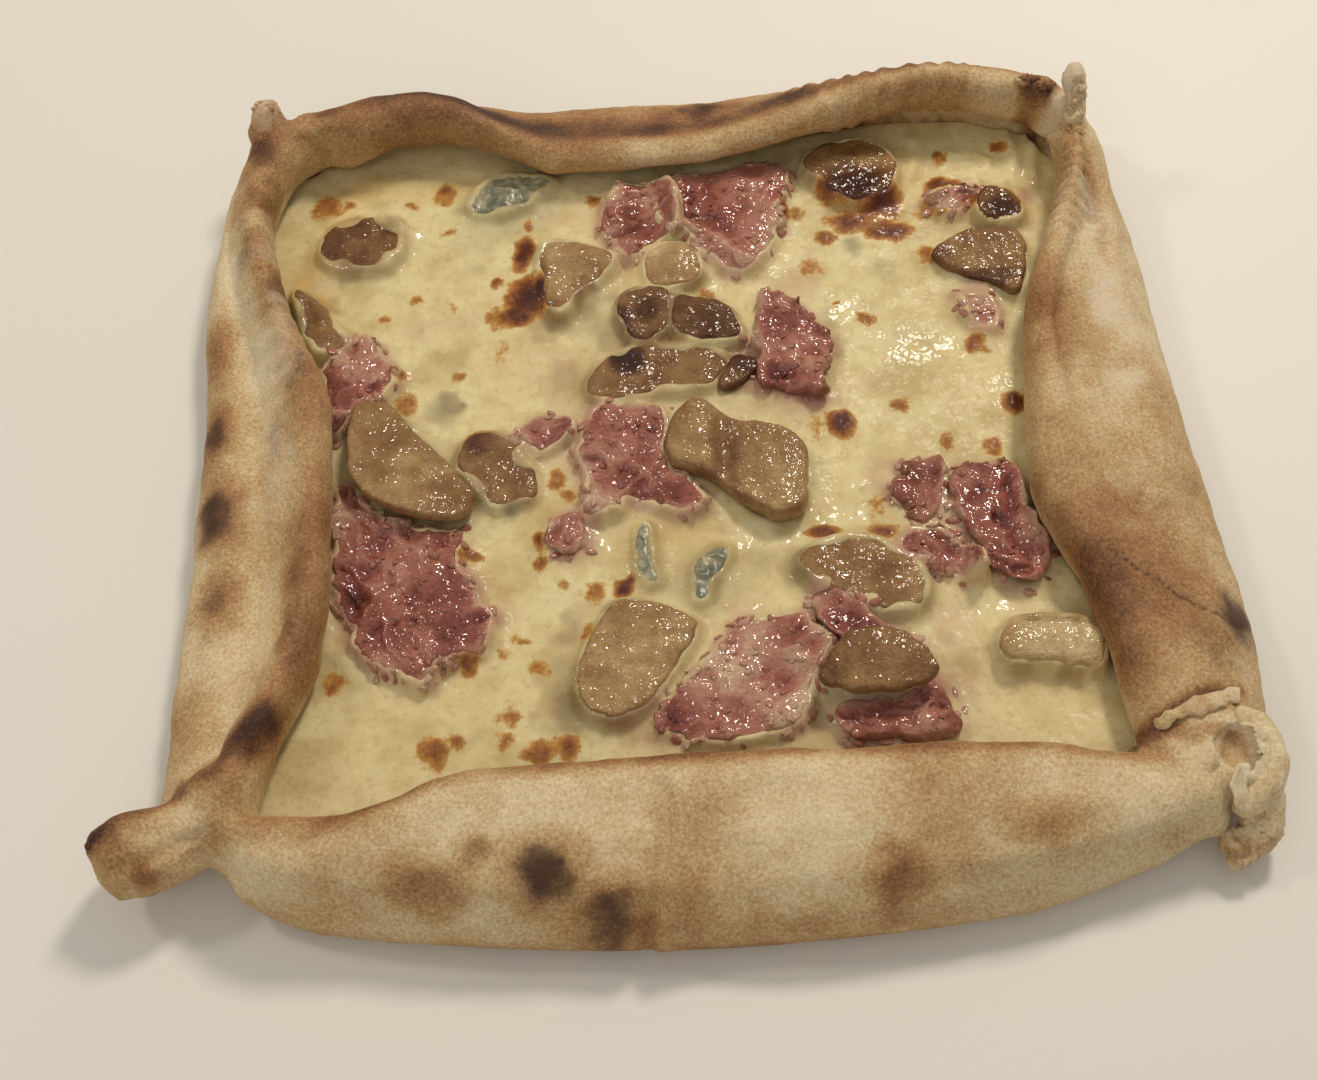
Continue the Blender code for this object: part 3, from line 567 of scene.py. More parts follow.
# Painted shade: the crack, and below it the slits, are dark lines in the char value, standing for the shade
# in them.
crack = by_line(*shaken(x, y, points, 0.6, 3, 6), RIGHT_CRACK, 0.6)
char_and_shade = np.maximum(char_and_shade, 0.8 * crack * (x > 99))
char_and_shade += 0.4 * edge * smooth_step(-0.3, 0.5, ripple(points, 6, 33))
toast_and_shade += 0.4 * by_line(x, y, END_FOLD, 1.6) + 0.2 * by_line(x, y + 3, END_FOLD, 2.0)
for slit in SLITS:
    char_and_shade = np.maximum(char_and_shade, 0.6 * by_line(x, y, slit, 0.7))
flour = soft_spots(at_x, at_y, FLOURED) * (1 + 0.5 * ripple(points, 4.5, 27))
flour += 0.16 * smooth_step(0.1, 0.8, ripple(points, 13, 28))
flour *= smooth_step(10, 17, z)
# Painted shade in the burst's hollow.
burst_hollow_shade = soft_spots(x, y, [((118, -98.8), (4.4, 6.2), 1.0)]) * smooth_step(21, 18, z)
toast_and_shade += 0.22 * smooth_step(0.2, 0.6, burst_hollow_shade)
paint_on(crust_mesh, "toast_and_shade", toast_and_shade)
paint_on(crust_mesh, "char_and_shade", char_and_shade)
paint_on(crust_mesh, "flour", flour)
print("toast from", toast_and_shade.min().round(2), "to", toast_and_shade.max().round(2))

# %% [markdown]
# ## The crust's finish
#
# This is baked wheat dough, dusted with flour and baked on a hot stone: matt, with a skin full of tiny
# pores, and a colour that runs from cream through gold and tan to nearly black. One colour ramp holds
# that run, and the painted toast value, broken up by three noises, reads it. That value holds painted
# shade as well, and the char value darkens both burnt spots and the painted shade in the crack and
# slits. A Principled shader with a little light under the skin keeps the dough from looking like plaster.

# %% The crust's finish
baked_dough, tree, shader, place = new_material("baked_dough")
toast_and_shade_in, char_and_shade_in, flour_in = (
    add_node(tree, "ShaderNodeAttribute", {"attribute_name": painting}).outputs["Fac"]
    for painting in ("toast_and_shade", "char_and_shade", "flour"))
# Each noise by how far apart its lumps are in millimetres, its detail and its roughness.
mottle, freckle, grain, dusting, skin = (
    add_node(tree, "ShaderNodeTexNoise", None, {
        "Vector": place, "Scale": per_metre(size), "Detail": detail, "Roughness": rough}).outputs["Fac"]
    for size, detail, rough in ((6.0, 5.0, 0.62), (1.1, 3.0, 0.7), (0.8, 2.0, 0.75), (1.2, 3.0, 0.8),
                                (0.9, 4.0, 0.6)))
uneven = toast_and_shade_in
for pattern, amount in ((mottle, 0.2), (freckle, 0.3), (grain, 0.62)):
    uneven = add_node(tree, "ShaderNodeMath", {"operation": "MULTIPLY_ADD"}, {
        0: pattern, 1: amount, 2: uneven}).outputs[0]
uneven = add_node(tree, "ShaderNodeMath", {"operation": "SUBTRACT"}, {0: uneven, 1: 0.56}).outputs[0]
crust_colour = add_node(tree, "ShaderNodeValToRGB", None, {"Fac": uneven}, [
    (0.0, "#E3D2AE"), (0.16, "#D3BC92"), (0.32, "#BD9C6C"), (0.48, "#A57B4E"), (0.64, "#8A5E39"),
    (0.8, "#664226"), (1.0, "#3F2413")]).outputs["Color"]
# Burnt spots and the painted shade of the crack and slits, as one dark cover.
burnt_and_shade = add_node(tree, "ShaderNodeMath", {"operation": "MULTIPLY_ADD"}, {
    0: freckle, 1: 0.3, 2: char_and_shade_in}).outputs[0]
burnt_and_shade = add_node(tree, "ShaderNodeMapRange", {"interpolation_type": "SMOOTHSTEP"}, {
    "Value": burnt_and_shade, "From Min": 0.2, "From Max": 1.15, "To Min": 0.0, "To Max": 0.92}).outputs[0]
dusted = add_node(tree, "ShaderNodeMath", {"operation": "MULTIPLY"}, {0: dusting, 1: flour_in}).outputs[0]
dusted = add_node(tree, "ShaderNodeMapRange", None, {
    "Value": dusted, "From Min": 0.14, "From Max": 0.46, "To Min": 0.0, "To Max": 0.7}).outputs[0]
for cover, colour in ((burnt_and_shade, "#3B2113"), (dusted, "#DACBAF")):
    crust_colour = add_node(tree, "ShaderNodeMix", {"data_type": "RGBA"}, {
        0: cover, 6: crust_colour, 7: linear(colour)}).outputs[2]
bumps = add_node(tree, "ShaderNodeBump", None, {
    "Strength": 0.6, "Distance": 0.4 * MM, "Height": skin}).outputs["Normal"]
bumps = add_node(tree, "ShaderNodeBump", None, {
    "Strength": 0.5, "Distance": 0.9 * MM, "Height": mottle, "Normal": bumps}).outputs["Normal"]
fill_inputs(tree, shader, {
    "Base Color": crust_colour, "Normal": bumps, "Roughness": 0.66, "Specular IOR Level": 0.35,
    "Subsurface Weight": 0.12, "Subsurface Radius": (1.0, 0.55, 0.3), "Subsurface Scale": 1.6 * MM})

add_piece("baked_crust", crust_mesh, baked_dough, ["dough"])
print("crust material nodes:", len(tree.nodes))

# %% [markdown]
# ## Outlines of the toppings
#
# Every slice and scrap has its own outline in plan, in millimetres, read off the real pizza. Corner
# cutting rounds an outline, as cooking does, and a torn edge gets noise as well. How far inside its
# outline a point lies is then all that is needed to round a slice's rim or to lap cheese against it.

# %% Outlines of the toppings
MUSHROOMS = {
    "mushroom_fin": [
        (-89.4, 11), (-86, 14), (-80.5, 13.5), (-77.5, 11), (-72.5, 4.5), (-67.5, -2.4), (-61.3, -8.6),
        (-58.1, -13.6), (-55, -18.6), (-57.5, -24.3), (-60.5, -26.5), (-67.5, -26.1), (-73.8, -24.3),
        (-80, -20.8), (-85, -18), (-88.1, -11.8), (-89.6, -0.5)
    ],
    "mushroom_by_left_lip": [
        (-107.5, 55.5), (-103.1, 52.6), (-98.8, 48.9), (-95, 42), (-91.3, 37), (-90.6, 33.9), (-94.4, 32),
        (-98.8, 30.1), (-102, 33), (-104.5, 38.3), (-106.5, 45.8), (-108.5, 52)
    ],
    "mushroom_browned_cap": [
        (-100.3, 75.8), (-101.9, 70.8), (-101, 65.1), (-96.3, 60.5), (-89.4, 59.8), (-83.8, 60.8),
        (-79.4, 65.8), (-77.5, 74.5), (-79.4, 80.1), (-85.6, 80.8), (-93.1, 80.8), (-97.5, 79.3)
    ],
    "mushroom_upper_slice": [
        (-40, 68.3), (-33.8, 68.5), (-27.5, 67), (-21.9, 65.1), (-18.1, 62), (-18.8, 58.3), (-22.5, 54.5),
        (-27.5, 50.8), (-30, 47), (-31.9, 42), (-35, 40.1), (-37.5, 44.5), (-38.8, 52), (-40, 59.5)
    ],
    "mushroom_button": [
        (-10.6, 55.8), (-9.4, 62), (-5.6, 65.1), (0, 65.8), (3.5, 64.5), (5.8, 61), (6, 56), (5, 51.5),
        (1.3, 49.5), (-3.8, 49.8), (-8.8, 50.8)
    ],
    "mushroom_gills": [
        (-17.5, 47), (-11.3, 50.1), (-5, 49.5), (-2.5, 44.5), (-3.8, 39.5), (-5, 34.5), (-10, 30.8),
        (-15, 32), (-16.9, 37), (-18.8, 42)
    ],
    "mushroom_dark_half": [
        (-3, 46), (2.5, 45.8), (10, 43.3), (14.4, 39.5), (15.5, 34.5), (15.6, 29.5), (10, 29), (2.5, 30),
        (-2.5, 32), (-4, 38)
    ],
    "mushroom_wedge": [
        (9.4, 19.5), (12.5, 25.8), (17.5, 24.5), (21.9, 23.9), (18.8, 19.5), (13.8, 15.1), (8.8, 13.3),
        (7.5, 17)
    ],
    "mushroom_thin_wide": [
        (-28, 15), (-26, 22), (-18, 29), (-10, 30.5), (-2, 30), (5, 28.5), (11, 26), (11, 20), (6, 15),
        (0, 13), (-6, 14.5), (-14, 12.5), (-22, 11)
    ],
    "mushroom_two_lobed": [
        (1.3, 9.8), (6.9, 6.4), (11.3, 1.4), (20, 0.8), (26.9, -3), (30.6, -9.3), (29.4, -16.8),
        (28.8, -24.3), (25, -28.6), (18.8, -28), (13.8, -24.3), (8.8, -19.3), (4.4, -14.9), (0, -13),
        (-4.5, -11.5), (-7.2, -7), (-6.9, -1), (-3.8, 5)
    ],
    "mushroom_half_sunk": [
        (-60, 2), (-55, 4.5), (-47.5, 1.4), (-42.5, -4.3), (-40, -11.8), (-40.6, -18), (-46.3, -19.9),
        (-52.5, -19.3), (-56.3, -14.9), (-59.4, -9.3), (-61.3, -4.3)
    ],
    "mushroom_wide_oval": [
        (25, -43), (24.4, -39.3), (28.8, -35.5), (36.3, -33), (43.8, -33.6), (50, -38), (55.5, -43),
        (57.5, -48.5), (53.8, -54.9), (47.5, -56.8), (40, -53), (33.8, -49.3), (28.8, -48)
    ],
    "mushroom_on_ham": [
        (25.6, -74.3), (30, -69.3), (33.8, -64.3), (40, -63), (47.5, -64.9), (51.3, -68), (55, -73),
        (53.8, -77.4), (47.5, -79.3), (41.3, -79.9), (33.8, -79.3), (27.5, -77.4)
    ],
    "mushroom_curled_stem": [
        (69, -68), (71.3, -62.5), (75, -59.5), (82.5, -58.6), (91.3, -59.3), (95.8, -63), (96.2, -69.3),
        (93.8, -74.3), (86.3, -73), (78.8, -71.8), (72.5, -71.8)
    ],
    "mushroom_large_front": [
        (-21.9, -49.3), (-15, -49.3), (-7.5, -51.1), (-0.6, -55.5), (-1.9, -61.8), (-6.3, -68),
        (-10.6, -74.3), (-15, -79.3), (-21.3, -81.1), (-27.5, -79.3), (-31.3, -74.3), (-31, -68),
        (-28.8, -61.8), (-25.6, -55.5)
    ],
    "mushroom_under_back_lip": [
        (36.3, 94.5), (41.3, 98.9), (48.8, 101.4), (57.5, 100.8), (63.1, 95.8), (65, 89.5), (62.5, 82),
        (56.3, 78.3), (48.8, 77.6), (43.8, 82), (38.8, 88.3)
    ],
    "mushroom_by_right_lip": [
        (70, 58.5), (75, 62), (81.3, 65.1), (90, 65.8), (95.5, 63.9), (97.5, 58.3), (95.5, 49.5),
        (93.5, 43), (91, 41.5), (87, 45), (81.3, 47.6), (75, 50.8), (70.6, 54.5)
    ],
    "mushroom_crisp_bit": [
        (86, 77), (90, 79), (96, 77), (98.5, 72), (97, 67.5), (92, 66.5), (87, 68), (84, 72)
    ],
}
HAM = {
    "ham_upper_left": [
        (-98, 25.8), (-96.3, 29.5), (-91.9, 34.5), (-88.1, 35.8), (-84.4, 34.5), (-81.9, 30.1),
        (-79.4, 25.8), (-78.1, 22), (-80, 17), (-85, 13.9), (-89.4, 12), (-92.8, 5.8), (-94.6, 6.5),
        (-95, 12), (-96.5, 19.5)
    ],
    "ham_left": [
        (-91.5, -11.8), (-88.5, -12), (-85.6, -16.8), (-84.4, -20.5), (-77.5, -22.4), (-71.3, -26.1),
        (-60, -27.4), (-58, -30.5), (-60, -34.3), (-58.8, -40.5), (-55, -44.3), (-50.6, -54.3),
        (-52.5, -59.3), (-58.8, -63), (-65, -63), (-66.9, -69.3), (-72.5, -68), (-77.5, -63),
        (-82.5, -61.8), (-85.6, -58), (-85.5, -50.5), (-89.5, -46.8), (-91.5, -38), (-91.8, -25.5)
    ],
    "ham_centre": [
        (-28.8, 1.4), (-27.5, 7), (-22.5, 12), (-16.3, 9.5), (-8.8, 8.9), (-5.5, 4.5), (-6.9, -0.5),
        (-7.5, -6.8), (-2.5, -13), (2.5, -19.3), (1.3, -24.3), (-3.8, -23.6), (-10, -21.1), (-16.3, -19.3),
        (-19.4, -24.3), (-27.5, -24.9), (-28.1, -19.3), (-27.5, -13), (-29.4, -5.5)
    ],
    "ham_tuft": [
        (-45.6, 3.3), (-42.5, 7), (-37.5, 8.9), (-32.5, 7.6), (-30, 2), (-33.8, 0.1), (-38.8, -4.3),
        (-42.5, -1.8), (-45.6, 0.8)
    ],
    "ham_crumb": [
        (-39.4, -26.8), (-35, -22.4), (-29.4, -23.6), (-27.5, -29.3), (-30, -33.6), (-35, -34.3),
        (-39, -32.4)
    ],
    "ham_chunk": [
        (20, 42), (21.9, 46.4), (27.5, 45.8), (31.3, 40.8), (37.5, 35.1), (39.4, 29.5), (38.8, 22),
        (36.9, 15.8), (37.5, 9.5), (32.5, 10.8), (26.3, 12), (20, 13.3), (18.8, 18.3), (21.3, 24.5),
        (16.9, 29.5), (19.4, 35.8)
    ],
    "ham_back_fold": [
        (-4, 86), (2.5, 91), (11.3, 92), (20, 92.5), (30, 95), (32.5, 89.5), (30.6, 80.8), (28.1, 70.8),
        (25.6, 62), (20, 54.5), (13.8, 55.8), (7.5, 60.8), (4.4, 65.8), (1.3, 70.8), (-4, 72), (-7, 77)
    ],
    "ham_back_strip": [
        (-22.5, 80.8), (-18.8, 87), (-11.3, 88.5), (-2.5, 88), (1, 80), (0.5, 72), (-2.5, 69.5),
        (-6.3, 69.5), (-11.3, 62), (-15, 59.5), (-17.5, 65.8), (-21.3, 72)
    ],
    "ham_right": [
        (65, -15.5), (70, -13.6), (77.5, -13.6), (78.8, -11.8), (83, -14.9), (83.5, -25.5), (86.5, -36.8),
        (87.3, -43), (83.8, -48.5), (76.3, -48.5), (71.3, -44.3), (70, -35.5), (65, -29.3), (64.4, -21.8)
    ],
    "ham_right_tail": [
        (50.6, -31.8), (57.5, -30.5), (65, -36.8), (70, -43), (70, -48), (62.5, -45.5), (55, -40.5),
        (50.6, -38)
    ],
    "ham_right_curl": [
        (53.8, -13), (56.3, -9.9), (61.3, -11.8), (65, -15.5), (62.5, -21.8), (60, -29.3), (55, -29.3),
        (51.3, -24.3), (50.6, -19.3)
    ],
    "ham_front": [
        (-7.5, -74.3), (-2.5, -69.3), (1.3, -65.5), (6.3, -58), (13.8, -55.5), (23.8, -54.3), (27.5, -58),
        (31.3, -63), (27.5, -70.5), (25, -75.5), (25, -80.5), (20, -86), (7.5, -87.5), (-1.3, -87.5),
        (-8, -85.5), (-12, -80)
    ],
    "ham_front_ridge": [
        (26.9, -54.3), (28.1, -49.3), (32.5, -48), (38.8, -54.3), (46.3, -59.3), (52.5, -64.3), (55, -69.3),
        (51.3, -69.3), (45, -63.6), (37.5, -62.5), (31.3, -62.5)
    ],
    "ham_front_tail": [
        (30, -78.5), (38.8, -78.5), (50, -77.5), (55, -74.5), (57.5, -80.5), (60, -86.8), (57.5, -89),
        (47.5, -89), (37.5, -88.5), (30.6, -87)
    ],
    "ham_shred": [
        (70, 79.5), (76.3, 82), (82.5, 82), (88.8, 82), (88.1, 78.3), (82.5, 77), (80, 72), (75, 72),
        (71.3, 75.8)
    ],
    "ham_by_right_lip": [
        (75, 44.5), (81.3, 45.8), (86.5, 39.5), (86, 33.3), (82.5, 30.1), (76.3, 34.5), (75, 39.5)
    ],
}
BLUE_CHEESE = {
    "blue_cheese_back": [
        (-59.4, 87), (-56.3, 93.3), (-52.5, 96.5), (-45, 95.5), (-35, 93.5), (-33.8, 89.5), (-40, 87),
        (-42.5, 82), (-48.8, 78.9), (-57.5, 79.5), (-61.3, 83.3)
    ],
    "blue_cheese_long": [
        (-15.6, -26.8), (-12.5, -25.5), (-10.6, -30.5), (-11.3, -38), (-8.8, -43), (-12.5, -44.3),
        (-15.5, -38), (-16.4, -31.8)
    ],
    "blue_cheese_short": [
        (8.5, -33), (3, -34.5), (-1, -38.5), (-3.5, -46.8), (-1.5, -51), (3, -49), (4.5, -42.5), (8.5, -37)
    ],
}


def rounded_outline(corners, frill, seed):
    """The outline with its corners cut twice, in steps of about 1 mm, and frilled by noise."""
    line = np.array(corners, float)
    for _ in range(2):
        after = np.roll(line, -1, 0)
        line = np.stack([0.75 * line + 0.25 * after, 0.25 * line + 0.75 * after], 1).reshape(-1, 2)
    after = np.roll(line, -1, 0)
    steps = [np.linspace(0, 1, max(1, round(np.hypot(*(b - a)))), endpoint=False)[:, None]
             for a, b in zip(line, after)]
    line = np.concatenate([a + (b - a) * t for a, b, t in zip(line, after, steps)])
    flat = on_the_flat(*line.T)
    way = np.roll(line, -1, 0) - np.roll(line, 1, 0)
    out = np.column_stack([way[:, 1], -way[:, 0]]) / np.hypot(*way.T)[:, None]
    push = 0.8 * ripple(flat, 5.5, seed + 40) + 0.8 * ripple(flat, 2.4, seed + 41)
    return line + out * (frill * push)[:, None]


def depth_inside(line, x, y):
    """How far inside a closed outline each point lies, below 0 outside it, and its nearest point on it."""
    start, end = line, np.roll(line, -1, 0)
    way = end - start
    from_x, from_y = x[:, None] - start[:, 0], y[:, None] - start[:, 1]
    t = np.clip((from_x * way[:, 0] + from_y * way[:, 1]) / np.maximum((way ** 2).sum(1), 1e-9), 0, 1)
    gap = np.hypot(from_x - t * way[:, 0], from_y - t * way[:, 1])
    nearest = gap.argmin(1)
    least = gap[np.arange(len(x)), nearest]
    touch = start[nearest] + way[nearest] * t[np.arange(len(x)), nearest][:, None]
    crosses = (start[:, 1] > y[:, None]) != (end[:, 1] > y[:, None])
    cut = start[:, 0] + from_y * way[:, 0] / np.where(way[:, 1] == 0, 1e-9, way[:, 1])
    inside = (crosses & (x[:, None] < cut)).sum(1) % 2 == 1
    return np.where(inside, least, -least), touch


outlines = {}
for number, (name, corners) in enumerate({**MUSHROOMS, **HAM, **BLUE_CHEESE}.items()):
    frill = 1.2 if name in HAM else 0.7 if name in BLUE_CHEESE else 0.45
    outlines[name] = rounded_outline(corners, frill, number)
print("outlines:", len(outlines), "with", sum(map(len, outlines.values())), "points")

# %% [markdown]
# ## How each piece lies
#
# A stiff slice lies as a tilted plane and a soft scrap sags, so the middle height of each solid is
# fitted with a plane or with a curved surface of the third degree. Least squares does that from the
# solid's own corners, so the fine piece lies just where its solid does.


# %% How each piece lies
class Lie:
    """The middle height of one solid over the table, as a smooth function of x and y."""

    def __init__(self, node, degree):
        corners = points_of(merged_copy(node, "lie"))
        self.centre = corners[:, :2].mean(0)
        self.powers = [(i, j) for i in range(degree + 1) for j in range(degree + 1 - i)]
        table = self.terms(*corners[:, :2].T)
        pull = 0.02 * np.eye(len(self.powers))
        pull[0, 0] = 0
        flat = np.concatenate([corners[:, 2], np.zeros(len(self.powers))])
        self.weights = np.linalg.lstsq(np.vstack([table, pull]), flat, rcond=None)[0]
        self.low, self.high = corners[:, 2].min(), corners[:, 2].max()
        spread = corners[:, 2] - table @ self.weights
        self.half = (spread.max() - spread.min()) / 2

    def terms(self, x, y):
        a, b = (x - self.centre[0]) / 20, (y - self.centre[1]) / 20
        return np.stack([a ** i * b ** j for i, j in self.powers], 1)

    def height(self, x, y):
        return np.clip(self.terms(x, y) @ self.weights, self.low + 0.8, self.high - 0.8)


lies = {name: Lie(name, 1 if name in MUSHROOMS else 3) for name in outlines}
print("fin lies from", round(lies["mushroom_fin"].low, 1), "to", round(lies["mushroom_fin"].high, 1), "mm")

# %% [markdown]
# ## Mushroom slices
#
# A cooked slice is flat with a rounded rim, a little curled, and wet. Each one is a fine grid clipped to
# its outline: grid points just outside are drawn on to the outline, which gives a smooth edge, and the
# top and bottom share them, so the slice is closed. Its top rises from the edge as a quarter circle.
# Some have a form of their own: two lobes with a valley, or a stem rolled into a tube.

# %% Mushroom slices
SLICE_CELL = 0.6
# Swellings, or dents where the height is below 0: a middle, how far it reaches in x and y, its height.
MUSHROOM_FORMS = {
    "mushroom_fin": [
        ((-70, -11), (2.2, 2.2), 0.8), ((-84, 4), (5, 8), 0.5), ((-77, -14), (9, 6), -0.5),
        ((-64, -21), (6, 4), 0.4)
    ],
    "mushroom_two_lobed": [
        ((1, 2), (7, 8), 1.0), ((8.5, -8), (3, 12), -2.4), ((20, -12), (9, 10), 1.0),
        ((-3, -8), (4, 4), -0.8), ((12, -20), (4, 4), -0.9), ((24, -22), (4, 5), 0.5)
    ],
    "mushroom_large_front": [
        ((-14, -60), (9, 9), 0.7), ((-26, -73), (6, 8), -1.2), ((-12, -72), (5, 5), -0.4),
        ((-6, -54), (5, 4), -0.4)
    ],
    "mushroom_wide_oval": [
        ((33, -40), (6, 4), 0.6), ((42, -48), (4, 7), -0.8), ((50, -46), (6, 6), 0.6),
        ((36, -36), (3, 2), -0.5)
    ],
    "mushroom_on_ham": [((38, -70), (8, 4), 0.8), ((47, -75), (4, 3), -0.8), ((33, -76), (5, 2.5), -0.6)],
    "mushroom_by_right_lip": [
        ((88, 58), (8, 5), 0.6), ((76, 56), (5, 4), -0.5), ((86, 47.5), (12, 2), -0.9)
    ],
    "mushroom_under_back_lip": [((45, 94), (7, 5), 0.6), ((54, 86), (8, 5), -0.7), ((40, 88), (4, 4), 0.4)],
    "mushroom_upper_slice": [((-32, 62), (8, 4), 0.5), ((-27, 54), (5, 4), -0.7), ((-33, 46), (4, 5), 0.3)],
    "mushroom_button": [((0, 59), (5, 5), 0.5), ((-8, 56), (3, 6), -0.7)],
    "mushroom_half_sunk": [((-50, -2), (8, 2.5), 0.6), ((-47, -14), (4, 6), -0.7)],
    "mushroom_browned_cap": [
        ((-90, 70), (7, 6), 0.6), ((-97, 66), (3, 5), -0.6), ((-83, 76), (4, 3), -0.5)
    ],
    "mushroom_thin_wide": [
        ((-22, 17), (6, 3), 0.5), ((-6, 20), (5, 4), -0.6), ((4, 20), (3, 6), 0.7),
        ((-14, 26), (5, 3), 0.5)
    ],
    "mushroom_gills": [((-12, 45), (4, 3), 0.7), ((-9, 38), (3.5, 3.5), -1.3), ((-5, 43), (3, 3), 0.5)],
    "mushroom_dark_half": [((4, 40), (7, 3), 0.9), ((10, 33), (4, 3), -0.9), ((1, 35), (2, 5), 0.6)],
    "mushroom_wedge": [((16, 22), (5, 1.5), 0.5)],
    "mushroom_by_left_lip": [((-97, 44), (3, 6), 0.6), ((-102, 40), (3, 5), -0.6)],
    "mushroom_crisp_bit": [((90, 75), (4, 2), 0.8), ((94, 70), (3, 3), -0.7)],
}


def clipped_grid(line, cell):
    """Grid points inside an outline, with the ones just outside drawn on to it, and the grid's faces."""
    low, high = line.min(0) - cell, line.max(0) + cell
    count = np.ceil((high - low) / cell).astype(int) + 1
    across_x, across_y = (low[k] + cell * np.arange(count[k]) for k in (0, 1))
    x, y = (side.ravel() for side in np.meshgrid(across_x, across_y, indexing="ij"))
    depth, touch = depth_inside(line, x, y)
    inside = (depth > 0).reshape(count)
    number = np.arange(count[0] * count[1]).reshape(count)
    kept = inside[:-1, :-1] | inside[1:, :-1] | inside[1:, 1:] | inside[:-1, 1:]
    faces = np.stack([number[:-1, :-1][kept], number[1:, :-1][kept], number[1:, 1:][kept],
                      number[:-1, 1:][kept]], 1)
    used, faces = np.unique(faces, return_inverse=True)
    faces = faces.reshape(-1, 4)
    rim = depth[used] <= 0
    x, y = np.where(rim, touch[used, 0], x[used]), np.where(rim, touch[used, 1], y[used])
    return x, y, np.maximum(depth[used], 0), rim, faces


def closed_piece(name, x, y, rim, faces, top, bottom):
    """A closed mesh from one grid used twice: a top, and a bottom turned over, that share the rim."""
    below = np.where(rim, np.arange(len(x)), len(x) + np.cumsum(~rim) - 1)
    points = np.concatenate([np.column_stack([x, y, top]), np.column_stack([x, y, bottom])[~rim]])
    mesh = bpy.data.meshes.new(name)
    mesh.from_pydata((points * MM).tolist(), [], faces.tolist() + below[faces][:, ::-1].tolist())
    shape = bmesh.new()
    shape.from_mesh(mesh)
    bmesh.ops.dissolve_degenerate(shape, dist=2e-5, edges=shape.edges)
    shape.to_mesh(mesh)
    shape.free()
    return mesh


def rounded_rim(depth, radius):
    """A share from 0 at the outline to 1 where the top is level, as a quarter circle."""
    t = np.clip(depth / radius, 0, 1)
    return np.sqrt(1 - (1 - t) ** 2)


def mushroom_top(name, x, y, depth):
    """The height of a mushroom slice's top, and how far it stands over its edge."""
    lie, flat = lies[name], on_the_flat(x, y)
    rise = min(lie.half, 3.2) * (0.82 * rounded_rim(depth, 0.9) + 0.18 * rounded_rim(depth, 5))
    curl = 0.45 * ripple(flat, 12, 50) + 0.4 * ripple(flat, 5, 51) + 0.22 * ripple(flat, 2.4, 52)
    curl += 0.8 * (0.4 - np.abs(ripple(flat, 8, 54)))
    for (at_x, at_y), (half_x, half_y), height in MUSHROOM_FORMS.get(name, ()):
        curl += height * np.exp(-((x - at_x) / half_x) ** 2 - ((y - at_y) / half_y) ** 2)
    middle = lie.height(x, y)
    if name == "mushroom_curled_stem":
        tube = gap_to_line(x, y, [(72, -66.5), (80, -65), (92, -66)])
        rise = 3.4 * np.sqrt(np.clip(1 - (tube / 8.6) ** 2, 0, 1)) * rounded_rim(depth, 2.4)
        rise += 0.9 * by_line(x, y, [(78, -60.2), (93, -61)], 1.3)
        rise -= 0.7 * by_line(x, y, [(76, -62), (94, -62.8)], 0.9)
        curl *= 0.4
    if name in ("mushroom_gills", "mushroom_dark_half", "mushroom_by_left_lip"):
        curl += 0.7 * np.abs(ripple(on_the_flat(x * 0.9 + y * 0.4, (y - 0.4 * x) * 0.25), 1.9, 53))
    return middle + rise + curl * rounded_rim(depth, 2.2), middle + 0.3 * curl


def mushroom_slice(name):
    """A closed slice, its points, and how far inside its outline each point is."""
    x, y, depth, rim, faces = clipped_grid(outlines[name], SLICE_CELL)
    top, edge = mushroom_top(name, x, y, depth)
    bottom = edge - min(lies[name].half, 3.0) * rounded_rim(depth, 2.0)
    mesh = closed_piece(name.replace("mushroom", "cooked_mushroom"), x, y, rim, faces, top, bottom)
    points = points_of(mesh)
    inner = np.maximum(depth_inside(outlines[name], points[:, 0], points[:, 1])[0], 0)
    return mesh, points, inner


mushroom_meshes = {name: mushroom_slice(name) for name in MUSHROOMS}
print("mushroom faces:", sum(len(mesh.polygons) for mesh, _, _ in mushroom_meshes.values()))

# %% [markdown]
# ## The mushrooms' finish
#
# These are cooked champignons: wet, soft, and a little see-through, so light goes under the skin. Their
# flesh is greyish tan with fine cells that glint, and it darkens along the rim and where the cap
# browned. Each slice is painted with how brown it is, from its rim and its own spots.

